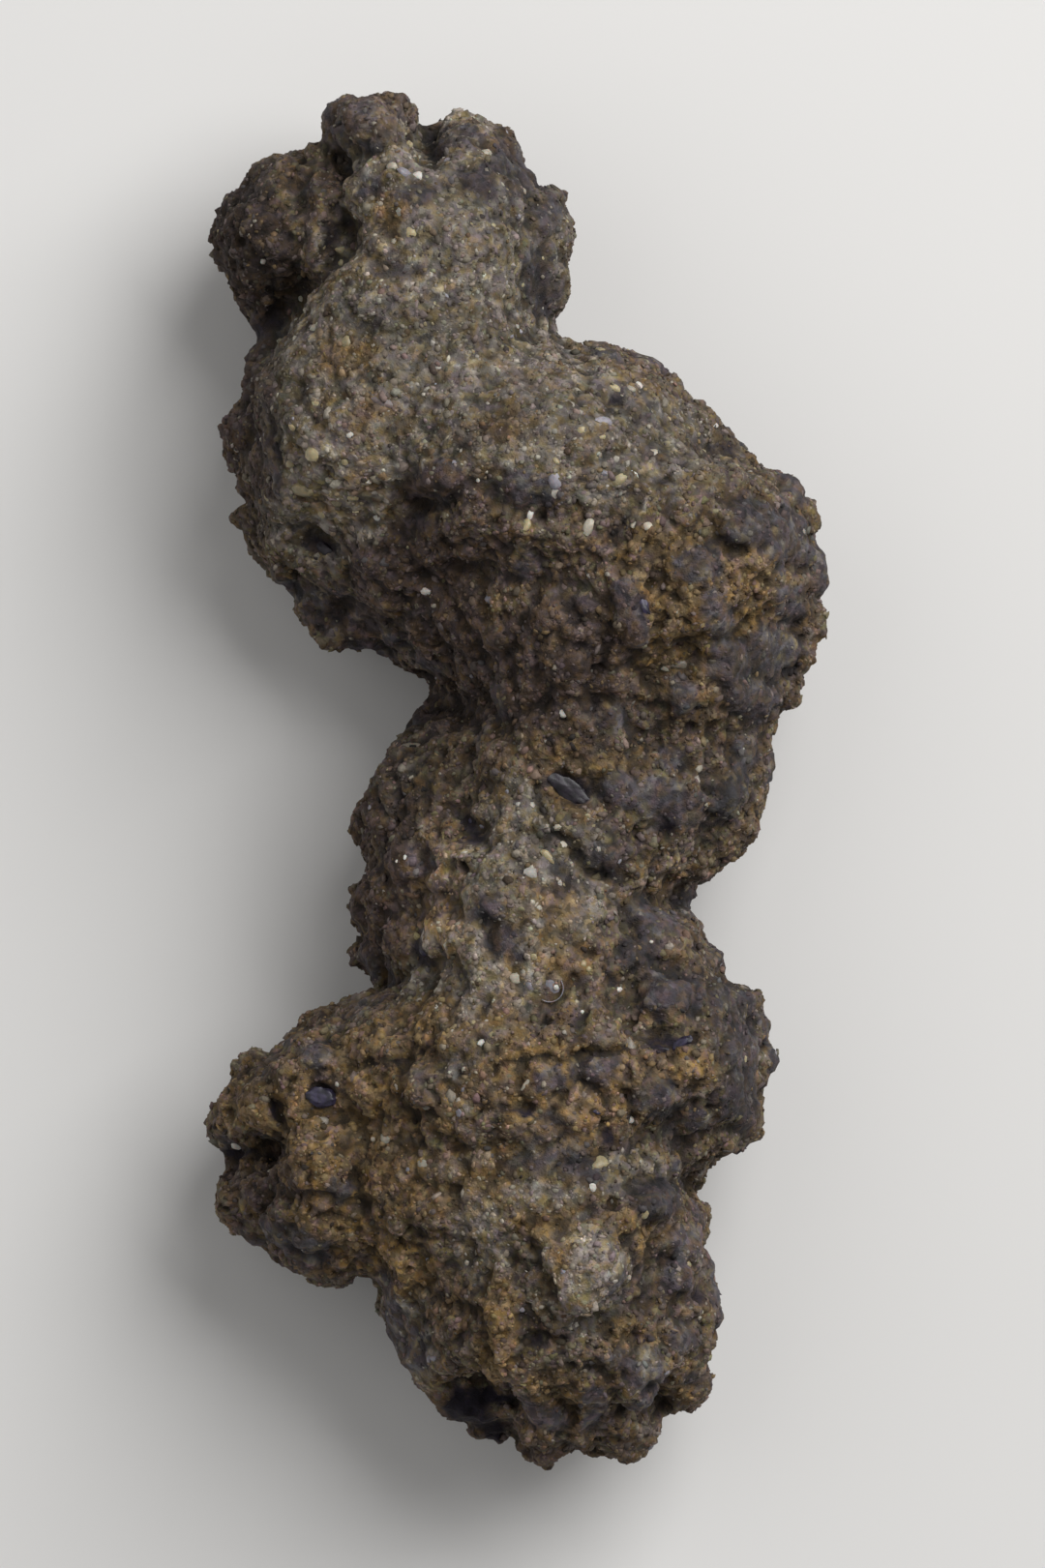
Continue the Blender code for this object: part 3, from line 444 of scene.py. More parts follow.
SHADES = (
    Oval(-10, 29.6, 3, 2, 0, 0.2), Oval(15.4, -1, 1.4, 2.4, -18, 0.5),
    Oval(8.9, -12.7, 1.6, 1.4, 0, 0.35), Oval(16.4, -23, 1.6, 2.6, 0, 0.4),
    Oval(10.4, -30.2, 1.7, 1.5, 0, 0.4), Oval(17, 18.4, 2.2, 1.9, 0, 0.25),
    Oval(15.5, 8.5, 1.8, 1.7, 0, 0.2), Oval(-19.4, 40.4, 3.8, 6.4, 0, 0.46),
    Oval(-6.4, 33.1, 7.6, 1.9, -4, 0.26), Oval(0, 42.4, 5, 3.6, 0, 0.3),
    Oval(1.8, 37.4, 2.8, 3.8, 0, 0.28), Oval(6.6, 25.6, 9.4, 2.4, -6, 0.28),
    Oval(3.6, -3.8, 3.2, 2.4, -20, 0.4), Oval(-17.2, 28.2, 2.8, 4.6, 0, 0.32),
    Oval(-7.8, 1.6, 2.6, 5, 0, 0.35), Oval(15.2, -15.8, 2.4, 3.6, 0, 0.3),
    Oval(-18.6, -21.8, 2.4, 1.8, 0, 0.25), Oval(6.8, -27.6, 2.6, 1.6, 0, 0.28),
    Oval(7.8, -39, 2.4, 3.4, 0, 0.2), Oval(17.4, 7.4, 3, 2, 0, 0.2),
    Oval(-18.6, 19.6, 1.6, 2.4, 0, 0.25), Oval(6.6, -34.6, 1.7, 2.2, 0, 0.22),
    Oval(-2.6, 25.4, 3.4, 2.2, 0, 0.3), Oval(-1, -7, 1.5, 1.6, 0, 0.22),
    Oval(-1, -22, 2.4, 1.6, 0, 0.2), Oval(6.4, 22.8, 2.6, 1.4, 0, 0.25),
    Oval(-6.6, 42.8, 3.4, 1.5, 0, 0.26), Oval(16.5, 23, 2, 2, 0, 0.18),
    Oval(4.6, -36.4, 2.4, 2.6, 0, 0.12), Oval(12.4, 27.4, 2.4, 1.8, -30, 0.15),
    Oval(2, 4.6, 5, 2, 0, 0.15),
)

FILLS = (
    Crack(((-10, 16.6), (-3, 17.6), (3, 16.8), (8, 15.4)), 1.7, 0.7),
    Crack(((2.4, -2.8), (4.9, -6.6), (8, -7.6)), 0.9, 0.6),
    Crack(((11.6, 15), (12.6, 12.4), (13.4, 10)), 0.9, 0.5),
    Crack(((20, 4.4), (16.6, 3.6), (14, 3.2)), 1, 0.6),
    Crack(((-1.5, -20.4), (2, -20.2), (4.1, -19.7), (7.4, -19.8)), 0.7, 0.3),
    Crack(((-5.4, 44.4), (-1, 43.6), (1, 43.6)), 1, 0.5), Crack(((-5.3, -31.2), (-5, -36.2)), 0.8, 0.8),
    Crack(((1.6, -33.2), (2, -37.2), (3.4, -39)), 0.9, 0.9),
    Crack(((4.1, -41.7), (4.6, -44.4), (4.6, -47.2)), 0.8, 0.7),
    Crack(((6.3, -40.8), (6.4, -42.4), (7, -45.8)), 0.9, 0.8),
    Crack(((-16.8, -31), (-13.6, -31.4)), 0.8, 0.7),
    Crack(((-13.6, 45), (-13.5, 41), (-14.2, 37.4)), 1.1, 1.3),
    Crack(((-10.2, -36.2), (-10.4, -34)), 0.9, 0.4),
    Crack(((9.4, -19.1), (11.2, -19.5), (13.2, -18.6)), 1.1, 0.7),
    Crack(((10, -7.2), (13, -7)), 1.3, 0.9), Crack(((-3.3, -4), (-2.9, -3)), 0.8, 0.5),
    Crack(((-6.9, -13.2), (-6.4, -12.2)), 0.8, 0.5), Crack(((-22, -27.4), (-20, -27.2)), 0.8, 0.5),
)

NODULES = (
    Oval(17, 18.3, 1.8, 1.6, 10), Oval(19.4, 17.4, 1.2, 1.8, -8), Oval(13.3, 15.6, 1.4, 1.1, -20),
    Oval(14.4, 11.9, 0.9, 1.7, 16), Oval(18.7, 9.3, 1.8, 1.7), Oval(15.5, 8.5, 1.6, 1.5, 30),
    Oval(17.4, 5.8, 1.8, 1.5, -12), Oval(20.2, 12.6, 1.2, 1.2), Oval(21.4, 16.2, 0.7, 0.9),
    Oval(8, 13.2, 1, 1.3, 30), Oval(8.8, 10.6, 0.9, 1.2), Oval(12, 6.2, 1, 1.6, 8),
    Oval(7.6, -0.7, 1.2, 1.2), Oval(10.6, -1.4, 1.5, 1.2, -25), Oval(12.2, -2.6, 1.3, 1, 20),
    Oval(15.5, -1, 1, 1.8, -20), Oval(6.8, -5.6, 1, 0.9), Oval(13, -9, 1.4, 1, -20),
    Oval(8.7, -12.6, 1.1, 1), Oval(11.4, -15.5, 1.7, 1.3), Oval(10, -11, 0.9, 0.8),
    Oval(15.2, -15.8, 1.2, 1, 30), Oval(16.8, -19.2, 0.9, 1.4), Oval(16.4, -23.2, 1, 1.9, -10),
    Oval(10.2, -22.8, 1.3, 1.2), Oval(13.2, -24.6, 1.1, 0.9), Oval(10.4, -30.2, 1.4, 1.2),
    Oval(12.4, -33.4, 1.3, 1.1), Oval(12.2, -36, 1.1, 1.2), Oval(12.4, -40.4, 1.2, 1),
    Oval(9.6, -42.6, 1.3, 1.2), Oval(7.4, -41.8, 0.8, 0.7), Oval(-5.4, 21.8, 1.7, 1.2, 12),
    Oval(0.4, 20.9, 1.4, 1.2), Oval(5.6, -21, 1.3, 0.9, -10), Oval(2.6, -21.4, 1.3, 0.9, 10),
    Oval(-14.4, -19.9, 1.2, 0.9, 24), Oval(-8.2, -6.2, 1.3, 1.2), Oval(-1.9, -9, 0.9, 0.8),
    Oval(-0.6, -12, 1.2, 0.9, -40), Oval(6.6, -20.3, 1.1, 0.7), Oval(-14.9, -33.4, 1.2, 0.9, -20),
    Oval(-9, -39.6, 0.9, 1), Oval(-7.6, -42, 0.8, 0.9), Oval(2.6, -46.2, 1.2, 1),
    Oval(5.8, -45, 0.9, 1.4), Oval(0.9, 44.6, 1, 1.1), Oval(-12.6, -29.6, 1, 0.7, -30),
    Oval(5.2, 12.6, 0.9, 0.8), Oval(1, 15.4, 1.1, 0.9, 20), Oval(4.4, 8.4, 1, 0.9),
    Oval(-1.6, 9.8, 1, 0.8), Oval(7, 4.4, 1.1, 0.9, 15), Oval(11.4, 1.6, 1.1, 0.8),
    Oval(16.6, 1.8, 0.9, 1.2),
)


@dataclass(frozen=True)
class Ground:
    """What the stone is made of at many points, each kind from 0 to 1; the dark and the tar kinds also carry
    painted shade, and light, from -1 to 1, paints patches lighter or darker, some of them as shade.
    """

    sand: np.ndarray
    rust: np.ndarray
    slate: np.ndarray
    dark_and_shade: np.ndarray
    tar_and_shade: np.ndarray
    crack: np.ndarray
    light: np.ndarray


class GroundMap:
    """Where the stone is sandy, rusty, slaty, dark or tarry, and where shade and light are painted on it."""

    BLUR = 0.45
    SHARP = 0.3
    WANDER = 0.5
    RAG_SIZE = 1.6
    RAG_REACH = 0.7
    RAG_SHARE = 0.6

    @classmethod
    def patched(cls, plan: np.ndarray, ovals: tuple[Oval, ...], blur: float) -> np.ndarray:
        """The strongest of several soft patches at plan points.

        Args:
            plan: The points' x and y in millimetres.
            ovals: The patches.
            blur: How soft their rims are, in half sizes.

        Returns:
            One number from 0 to 1 for each point.
        """
        best = np.zeros(len(plan))
        for oval in ovals:
            share = smooth_step((1.0 + blur - oval.reach(plan)) / (2.0 * blur))
            best = np.maximum(best, share * oval.strength)
        return best

    @classmethod
    def read(cls, points: np.ndarray, normals: np.ndarray, lumps: list[SideLump]) -> Ground:
        """Reads the ground at points of the surface.

        Args:
            points: Places in millimetres.
            normals: The surface's directions there.
            lumps: The nodules that the photo does not show.

        Returns:
            The ground at each point.
        """
        ragged = points[:, :2] + cls.RAG_REACH * np.stack(
            (Grit.swell(points, cls.RAG_SIZE, 11.0), Grit.swell(points, cls.RAG_SIZE, 47.0)), axis=1
        )
        frayed = points[:, :2] * (1.0 - cls.RAG_SHARE) + ragged * cls.RAG_SHARE
        broad = Grit.fractal(points, 6.0, 3.0, 4)
        other = Grit.fractal(points, 5.0, 61.0, 4)
        top = smooth_step((normals[:, 2] + 0.35) / 0.6)
        sand = cls.patched(ragged, SANDY, cls.BLUR) * top + 0.3 * (1.0 - top)
        rust = cls.patched(ragged, RUSTY, cls.BLUR) * top + 0.45 * (1.0 - top)
        slate = cls.patched(ragged, SLATY, cls.SHARP) * top + 0.4 * (1.0 - top)
        # The side walls and underside hold half of this dark earth and painted shade.
        dark_and_shade = cls.patched(ragged, DARK_AND_SHADED, cls.BLUR) * top + 0.5 * (1.0 - top)
        facing = smooth_step((normals[:, 2] + 0.2) / 0.4)
        slate = smooth_step((slate - broad * cls.WANDER) * 1.25)
        for nodule in NODULES:
            inner = smooth_step((1.15 - nodule.boxy(frayed)) / 0.3)
            slate = np.maximum(slate, inner * facing)
        for lump in lumps:
            slate = np.maximum(slate, smooth_step((1.15 - lump.reach(points)) / 0.3))
        strayed = ragged * (1.0 - cls.RAG_SHARE) + points[:, :2] * cls.RAG_SHARE
        crack = np.zeros(len(points))
        for line in CRACKS:
            reach = line.distance(strayed) / line.half_width
            crack = np.maximum(crack, smooth_step(1.3 - reach) * min(1.0, line.depth))
        return Ground(
            sand=smooth_step((sand + broad * cls.WANDER * 0.5) * 1.2),
            rust=smooth_step((rust + other * cls.WANDER) * 1.2),
            slate=slate,
            dark_and_shade=smooth_step(dark_and_shade + broad * cls.WANDER),
            tar_and_shade=cls.patched(ragged, TARRY_AND_SHADED, cls.SHARP) * facing,
            crack=crack * facing,
            light=(cls.patched(ragged, LIGHTS, 0.5) - cls.patched(ragged, SHADES, 0.4)) * facing,
        )


@dataclass(frozen=True)
class Nudge:
    """Moves the side wall in or out around a place on the outline, in millimetres."""

    x: float
    y: float
    reach: float
    out: float


@dataclass(frozen=True)
class Relief:
    """The stone's rough surface, as heights in millimetres over the smooth form."""

    clod_size: float = 3.9
    clod_depth: float = 0.5
    clod_warp: float = 0.9
    clods_calmed: float = 0.55
    lump_size: float = 1.9
    lump_depth: float = 0.34
    lump_warp: float = 0.5
    lumps_calmed: float = 0.3
    tilt: float = 0.25
    clot_size: float = 3.0
    clot_height: float = 0.15
    crumb_size: float = 0.9
    crumb_depth: float = 0.18
    grit_size: float = 1.3
    grit_height: float = 0.12
    pit_size: float = 1.6
    pit_depth: float = 0.5
    pit_share: float = 0.2
    nodule_rise: float = 0.36
    ring_depth: float = 0.3
    crack_depth: float = 0.2

    def nudged(self, points: np.ndarray, normals: np.ndarray) -> np.ndarray:
        """The points with the outline's small knobs and notches.

        Args:
            points: Places in millimetres.
            normals: The surface's directions there.

        Returns:
            The moved places.
        """
        side = smooth_step((0.85 - np.abs(normals[:, 2])) / 0.5)
        flat = normals * (1.0, 1.0, 0.0)
        moved = points.copy()
        for nudge in NUDGES:
            away = np.hypot(points[:, 0] - nudge.x, points[:, 1] - nudge.y)
            share = smooth_step(1.0 - away / nudge.reach) * side * nudge.out
            moved += flat * share[:, None]
        return moved

    def blocks(self, points: np.ndarray, size: float, depth: float, shift: float) -> np.ndarray:
        """Heights of tilted blocks with crevices between them.

        Args:
            points: Places in millimetres.
            size: The size of one block.
            depth: The crevices' mean depth.
            shift: Moves the pattern.

        Returns:
            The height at each point, about zero on the whole.
        """
        near, gap, draw, slope = Grit.cells(points, size, shift)
        crease = smooth_step(gap / 0.22)
        dome = np.clip(1.0 - (near / 0.6) ** 2, -0.5, 1.0)
        return (crease * (0.7 + 0.6 * draw + 0.5 * dome) + slope * self.tilt - 0.95) * depth

    def broad(self, points: np.ndarray, normals: np.ndarray, lumps: list[SideLump]) -> np.ndarray:
        """Clods, cracks, pits and swells, which the coarse skin can hold.

        Args:
            points: Places in millimetres.
            normals: The surface's directions there.
            lumps: The nodules that the photo does not show.

        Returns:
            The height at each point, in millimetres.
        """
        plan = points[:, :2]
        upper = smooth_step((normals[:, 2] + 0.05) / 0.45)
        warp = np.stack([Grit.swell(points, 2.4, shift) for shift in (5.0, 17.0, 29.0)], axis=1)
        wiggle = np.stack([Grit.swell(points, 1.3, shift) for shift in (8.0, 33.0)], axis=1)
        sandy = GroundMap.patched(plan, SANDY, 0.5) * upper
        clods = self.blocks(points + warp * self.clod_warp, self.clod_size, self.clod_depth, 1.7)
        small = self.blocks(points + warp * self.lump_warp, self.lump_size, self.lump_depth, 9.1)
        height = clods * (1.0 - self.clods_calmed * sandy)
        height += small * (1.0 - self.lumps_calmed * sandy)
        height += Grit.clotted(points, self.clot_size, 23.0, 3) * self.clot_height
        height = self.lumped(plan + wiggle * 0.35, height, upper)
        for lump in lumps:
            height = self.raised(height, lump.reach(points + warp * 0.35), 1.0)
        for fill in FILLS:
            height += smooth_step(1.5 - fill.distance(plan) / fill.half_width) * fill.depth * upper
        for crack in CRACKS:
            reach = crack.distance(plan + wiggle * 0.45) / crack.half_width
            broken = np.clip(0.75 + wiggle[:, 0] * 0.9, 0.2, 1.2)
            height -= smooth_step(1.4 - reach) * crack.depth * upper * broken
        for pit in PITS:
            height -= smooth_step((1.25 - pit.reach(plan + wiggle * 0.2)) / 0.75) * pit.strength * upper
        return height

    def lumped(self, plan: np.ndarray, height: np.ndarray, upper: np.ndarray) -> np.ndarray:
        """Adds the large knobs and the slate nodules, which are smoother than the ground round them.

        Args:
            plan: The points' x and y in millimetres.
            height: The heights so far.
            upper: How far up each point faces, from 0 to 1.

        Returns:
            The new heights.
        """
        for knob in KNOBS:
            reach = knob.reach(plan)
            ring = smooth_step(1.0 - np.abs(reach - 1.06) / 0.16)
            dome = np.sqrt(np.clip(1.0 - reach ** 2, 0.0, 1.0))
            height = height + (dome * knob.strength - ring * self.ring_depth * 0.8) * upper
        for nodule in NODULES:
            height = self.raised(height, nodule.boxy(plan), upper)
        return height

    def raised(self, height: np.ndarray, reach: np.ndarray, upper: np.ndarray | float) -> np.ndarray:
        """Smooths and raises the ground into a nodule.

        Args:
            height: The heights so far.
            reach: How far each point lies from the nodule's middle, where 1 is the rim.
            upper: How strongly it shows.

        Returns:
            The new heights.
        """
        inner = smooth_step((1.1 - reach) / 0.3) * upper
        ring = smooth_step(1.0 - np.abs(reach - 1.15) / 0.3) * upper
        rise = self.nodule_rise * (0.6 + 0.4 * np.clip(1.0 - reach ** 2, 0.0, 1.0))
        return height * (1.0 - 0.75 * inner) + rise * inner - ring * self.ring_depth

    def fine(self, points: np.ndarray, ground: Ground) -> np.ndarray:
        """Crumbs and small round pits, for the fine skin.

        Args:
            points: Places in millimetres.
            ground: The ground there.

        Returns:
            The height at each point, in millimetres.
        """
        rough = (1.0 - 0.6 * ground.slate) * (1.0 - 0.35 * ground.sand)
        crumbs = self.blocks(points, self.crumb_size, self.crumb_depth, 3.3) * rough
        crumbs += Grit.clotted(points, self.grit_size, 71.0, 2) * self.grit_height
        near, draw = Grit.spots(points, self.pit_size, 13.9)
        pits = smooth_step((0.36 - near) / 0.16) * (draw < self.pit_share) * self.pit_depth
        pits *= rough * (1.0 - 0.4 * ground.sand)
        return crumbs * (1.0 - 0.7 * ground.tar_and_shade) - pits - ground.crack * self.crack_depth


KNOBS = (
    Oval(5, -35.2, 3, 3.7, 0, 0.7), Oval(12, -41.8, 3.2, 2.8, 0, 0.5),
    Oval(-14.2, -27.2, 3.4, 2.8, 20, 0.4), Oval(11.3, -15.6, 2.7, 2.2, 0, 0.5),
    Oval(-15.4, -32.6, 3.2, 1.9, -20, 0.4), Oval(-8.3, -35.4, 1.9, 1.8, 0, 0.4),
    Oval(-7, -22.4, 2.1, 2.4, 0, 0.5), Oval(-10.3, 47.9, 3.4, 2.1, 0, 0.4),
    Oval(-2.6, 46.2, 3, 2, -10, 0.4), Oval(-1, -38.2, 1.5, 4.2, 0, 0.5),
    Oval(11.2, -1.6, 3.3, 2.4, -24, 0.9), Oval(15.6, -1, 1.5, 2.5, -18, 0.7),
    Oval(2.8, 41, 1.5, 2.2, 0, 0.3), Oval(0, 44.8, 1.4, 1.4, 0, 0.4), Oval(-8.8, 34.6, 3, 2, 0, 0.3),
    Oval(9.2, -46.8, 2, 1.8, 0, 0.4), Oval(2.4, -47, 2, 1.7, 0, 0.4),
    Oval(16.4, -22.8, 1.9, 3, -8, 0.5), Oval(10.4, -30.2, 2, 1.8, 0, 0.4),
    Oval(14, 12.4, 2.1, 3.4, 16, 0.7), Oval(8.6, 12, 1.8, 3, 12, 0.7),
    Oval(17.4, 18.2, 2.6, 2.2, 0, 0.6), Oval(18.6, 9.2, 2.2, 2.2, 0, 0.5),
    Oval(-5.4, 21.6, 2.4, 1.8, 12, 0.4), Oval(4.4, -21.6, 1.8, 1.4, 0, 0.3),
    Oval(-5, -41, 1.8, 2.6, 0, 0.3),
)

NUDGES = (
    Nudge(-22.2, -24.6, 2.4, 0.5), Nudge(-21, -22.2, 2.4, 0.7), Nudge(-22, -28.9, 1.9, 0.7),
    Nudge(-21.8, -31, 2, 0.4), Nudge(-21.4, -27.3, 0.9, -0.6), Nudge(-13.2, 48.4, 3, 0.5),
    Nudge(-7.4, 49, 2, 0.5), Nudge(-14.3, 46.2, 1.2, -0.5), Nudge(-6.5, 47.5, 1.5, -1.6),
    Nudge(-2.8, 48.5, 1.8, 0.6), Nudge(0.9, 44.6, 1, -0.6), Nudge(1.9, 43.4, 0.9, -0.5),
    Nudge(3.3, 42.4, 1.5, 0.4), Nudge(13.1, 27.7, 1.2, -0.6), Nudge(17.7, -2.6, 2.2, -0.9),
    Nudge(17.4, -15.8, 1.3, 0.7), Nudge(15.5, -27.5, 1.6, -0.5), Nudge(15, -38.8, 3.2, 0.5),
    Nudge(14.2, -44, 2.6, 0.6), Nudge(10.8, -45.9, 1.1, -1.6), Nudge(8.6, -49, 1.8, 0.4),
    Nudge(-3.5, -46.9, 1.6, -0.6), Nudge(4.2, -48.4, 1, -0.7), Nudge(1.8, -49.8, 1.3, 0.4),
    Nudge(-0.3, -48.3, 1, -0.4), Nudge(-20.4, 19, 1.5, 0.6), Nudge(-20.2, 20.4, 1.2, -0.9),
    Nudge(-19.9, 30.6, 1.6, 0.5), Nudge(-18.6, 32.2, 1, -0.7), Nudge(-21.6, 37.4, 2.4, 0.6),
    Nudge(-20.9, 42.7, 2, -0.3), Nudge(-15.8, 12.6, 1.8, 0.4), Nudge(-16.2, 13.9, 1.6, -0.9),
    Nudge(-11.2, -6.6, 1, -0.5), Nudge(14, -11.8, 1.2, -0.4), Nudge(18.8, -20.6, 1.6, 0.3),
    Nudge(18, -22.6, 1, -0.4), Nudge(21.8, 17.6, 1.1, -0.4), Nudge(13.6, -30.2, 1.2, -0.4),
    Nudge(15.9, -14.3, 1.3, -0.8), Nudge(17, -26.3, 1.6, -0.7), Nudge(-11, -37.3, 1.9, -2.3),
    Nudge(-9.8, 8, 2.2, -2), Nudge(-9.2, 4, 1.4, 0.3), Nudge(14.8, -41.2, 1.6, 0.6),
    Nudge(-16, 46, 1.6, 0.5), Nudge(19, 3.8, 1.2, 0.5), Nudge(3.2, -49.2, 1.2, -0.5),
    Nudge(-1, -48.3, 1.1, 1), Nudge(4.2, 39, 2, 0.4), Nudge(14.6, -7.2, 1.6, 0.5),
    Nudge(12.8, -46.2, 1.3, 0.5), Nudge(-12.4, -16.4, 2.4, -0.4), Nudge(-11.6, -11, 1.6, -0.4),
    Nudge(-3, -47.2, 1.2, -0.4),
)


@dataclass
class Skin:
    """The finished surface of the stone as arrays, in millimetres, with a tree to search it by."""

    points: np.ndarray
    normals: np.ndarray
    triangles: np.ndarray
    ground: Ground
    hollow: np.ndarray
    tree: BVHTree

    def under(self, x: float, y: float) -> tuple[Vector, Vector] | None:
        """The surface straight under a plan point.

        Args:
            x: Millimetres to the right.
            y: Millimetres towards the head.

        Returns:
            The place and its direction in millimetres, or None beside the stone.
        """
        place, normal, _, _ = self.tree.ray_cast(Vector((x, y, 100.0)), Vector((0.0, 0.0, -1.0)))
        return None if place is None else (place, normal)


class MeshTools:
    """Small jobs on meshes that several pieces share."""

    @staticmethod
    def read(mesh: bpy.types.Mesh) -> tuple[np.ndarray, np.ndarray]:
        """The places and directions of a mesh's points.

        Args:
            mesh: The mesh, in metres.

        Returns:
            The places in millimetres, and the directions.
        """
        count = len(mesh.vertices)
        points = np.zeros(count * 3)
        normals = np.zeros(count * 3)
        mesh.vertices.foreach_get("co", points)
        mesh.vertex_normals.foreach_get("vector", normals)
        return points.reshape(-1, 3) / MM, normals.reshape(-1, 3)

    @staticmethod
    def write(mesh: bpy.types.Mesh, points: np.ndarray) -> None:
        """Puts a mesh's points at new places.

        Args:
            mesh: The mesh, in metres.
            points: The places in millimetres.
        """
        mesh.vertices.foreach_set("co", (points * MM).astype(np.float32).ravel())
        mesh.update()

    @staticmethod
    def _carrier(mesh: bpy.types.Mesh) -> bpy.types.Object:
        """An object that carries a mesh while a modifier works on it."""
        carrier = bpy.data.objects.new("carrier", mesh)
        bpy.context.scene.collection.objects.link(carrier)
        return carrier

    @staticmethod
    def _applied(carrier: bpy.types.Object) -> bpy.types.Mesh:
        """Takes the mesh as the carrier's modifier leaves it.

        Args:
            carrier: The object, which is used up with its own mesh.

        Returns:
            The new mesh.
        """
        graph = bpy.context.evaluated_depsgraph_get()
        result = bpy.data.meshes.new_from_object(carrier.evaluated_get(graph))
        mesh = carrier.data
        bpy.data.objects.remove(carrier)
        bpy.data.meshes.remove(mesh)
        return result

    @staticmethod
    def remeshed(mesh: bpy.types.Mesh, voxel: float) -> bpy.types.Mesh:
        """The same form in even squares, as one closed skin.

        Args:
            mesh: The mesh to take the form from; it is used up.
            voxel: The squares' size in millimetres.

        Returns:
            The new mesh.
        """
        carrier = MeshTools._carrier(mesh)
        even = carrier.modifiers.new("even", "REMESH")
        even.mode = "VOXEL"
        even.voxel_size = voxel * MM
        even.adaptivity = 0.0
        return MeshTools._applied(carrier)

    @staticmethod
    def thinned(mesh: bpy.types.Mesh, most: int) -> bpy.types.Mesh:
        """The same form in fewer triangles, with the most of them where it is roughest.

        Args:
            mesh: The mesh to take the form from; it is used up.
            most: How many triangles are left.

        Returns:
            The new mesh.
        """
        carrier = MeshTools._carrier(mesh)
        fewer = carrier.modifiers.new("fewer", "DECIMATE")
        fewer.decimate_type = "COLLAPSE"
        fewer.ratio = min(1.0, most / sum(len(face.vertices) - 2 for face in mesh.polygons))
        fewer.use_collapse_triangulate = True
        return MeshTools._applied(carrier)

    @staticmethod
    def keep_largest(bm: bmesh.types.BMesh) -> None:
        """Deletes every loose piece but the one with the most points."""
        unseen = set(bm.verts)
        pieces = []
        while unseen:
            front = [unseen.pop()]
            piece = list(front)
            while front:
                near = {edge.other_vert(vert) for vert in front for edge in vert.link_edges}
                front = list(near & unseen)
                unseen.difference_update(front)
                piece.extend(front)
            pieces.append(piece)
        pieces.sort(key=len)
        for crumb in pieces[:-1]:
            bmesh.ops.delete(bm, geom=crumb, context="VERTS")

    @classmethod
    def smoothed(cls, mesh: bpy.types.Mesh, passes: int) -> None:
        """Evens a mesh out and keeps only its largest piece.

        Args:
            mesh: The mesh, changed in place.
            passes: How often it is evened out.
        """
        bm = bmesh.new()
        bm.from_mesh(mesh)
        cls.keep_largest(bm)
        for _ in range(passes):
            bmesh.ops.smooth_vert(
                bm, verts=bm.verts[:], factor=0.5, use_axis_x=True, use_axis_y=True, use_axis_z=True
            )
        bm.to_mesh(mesh)
        bm.free()

    @staticmethod
    def placed(name: str, mesh: bpy.types.Mesh, material: bpy.types.Material) -> bpy.types.Object:
        """Makes a finished piece of the stone, which rides on it.

        Args:
            name: The piece's name.
            mesh: Its mesh, in place.
            material: Its finish.

        Returns:
            The new object.
        """
        mesh.materials.clear()
        mesh.materials.append(material)
        piece = bpy.data.objects.new(name, mesh)
        bpy.context.scene.collection.objects.link(piece)
        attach(piece, BODY)
        log.info("%s: %d faces", name, len(mesh.polygons))
        return piece


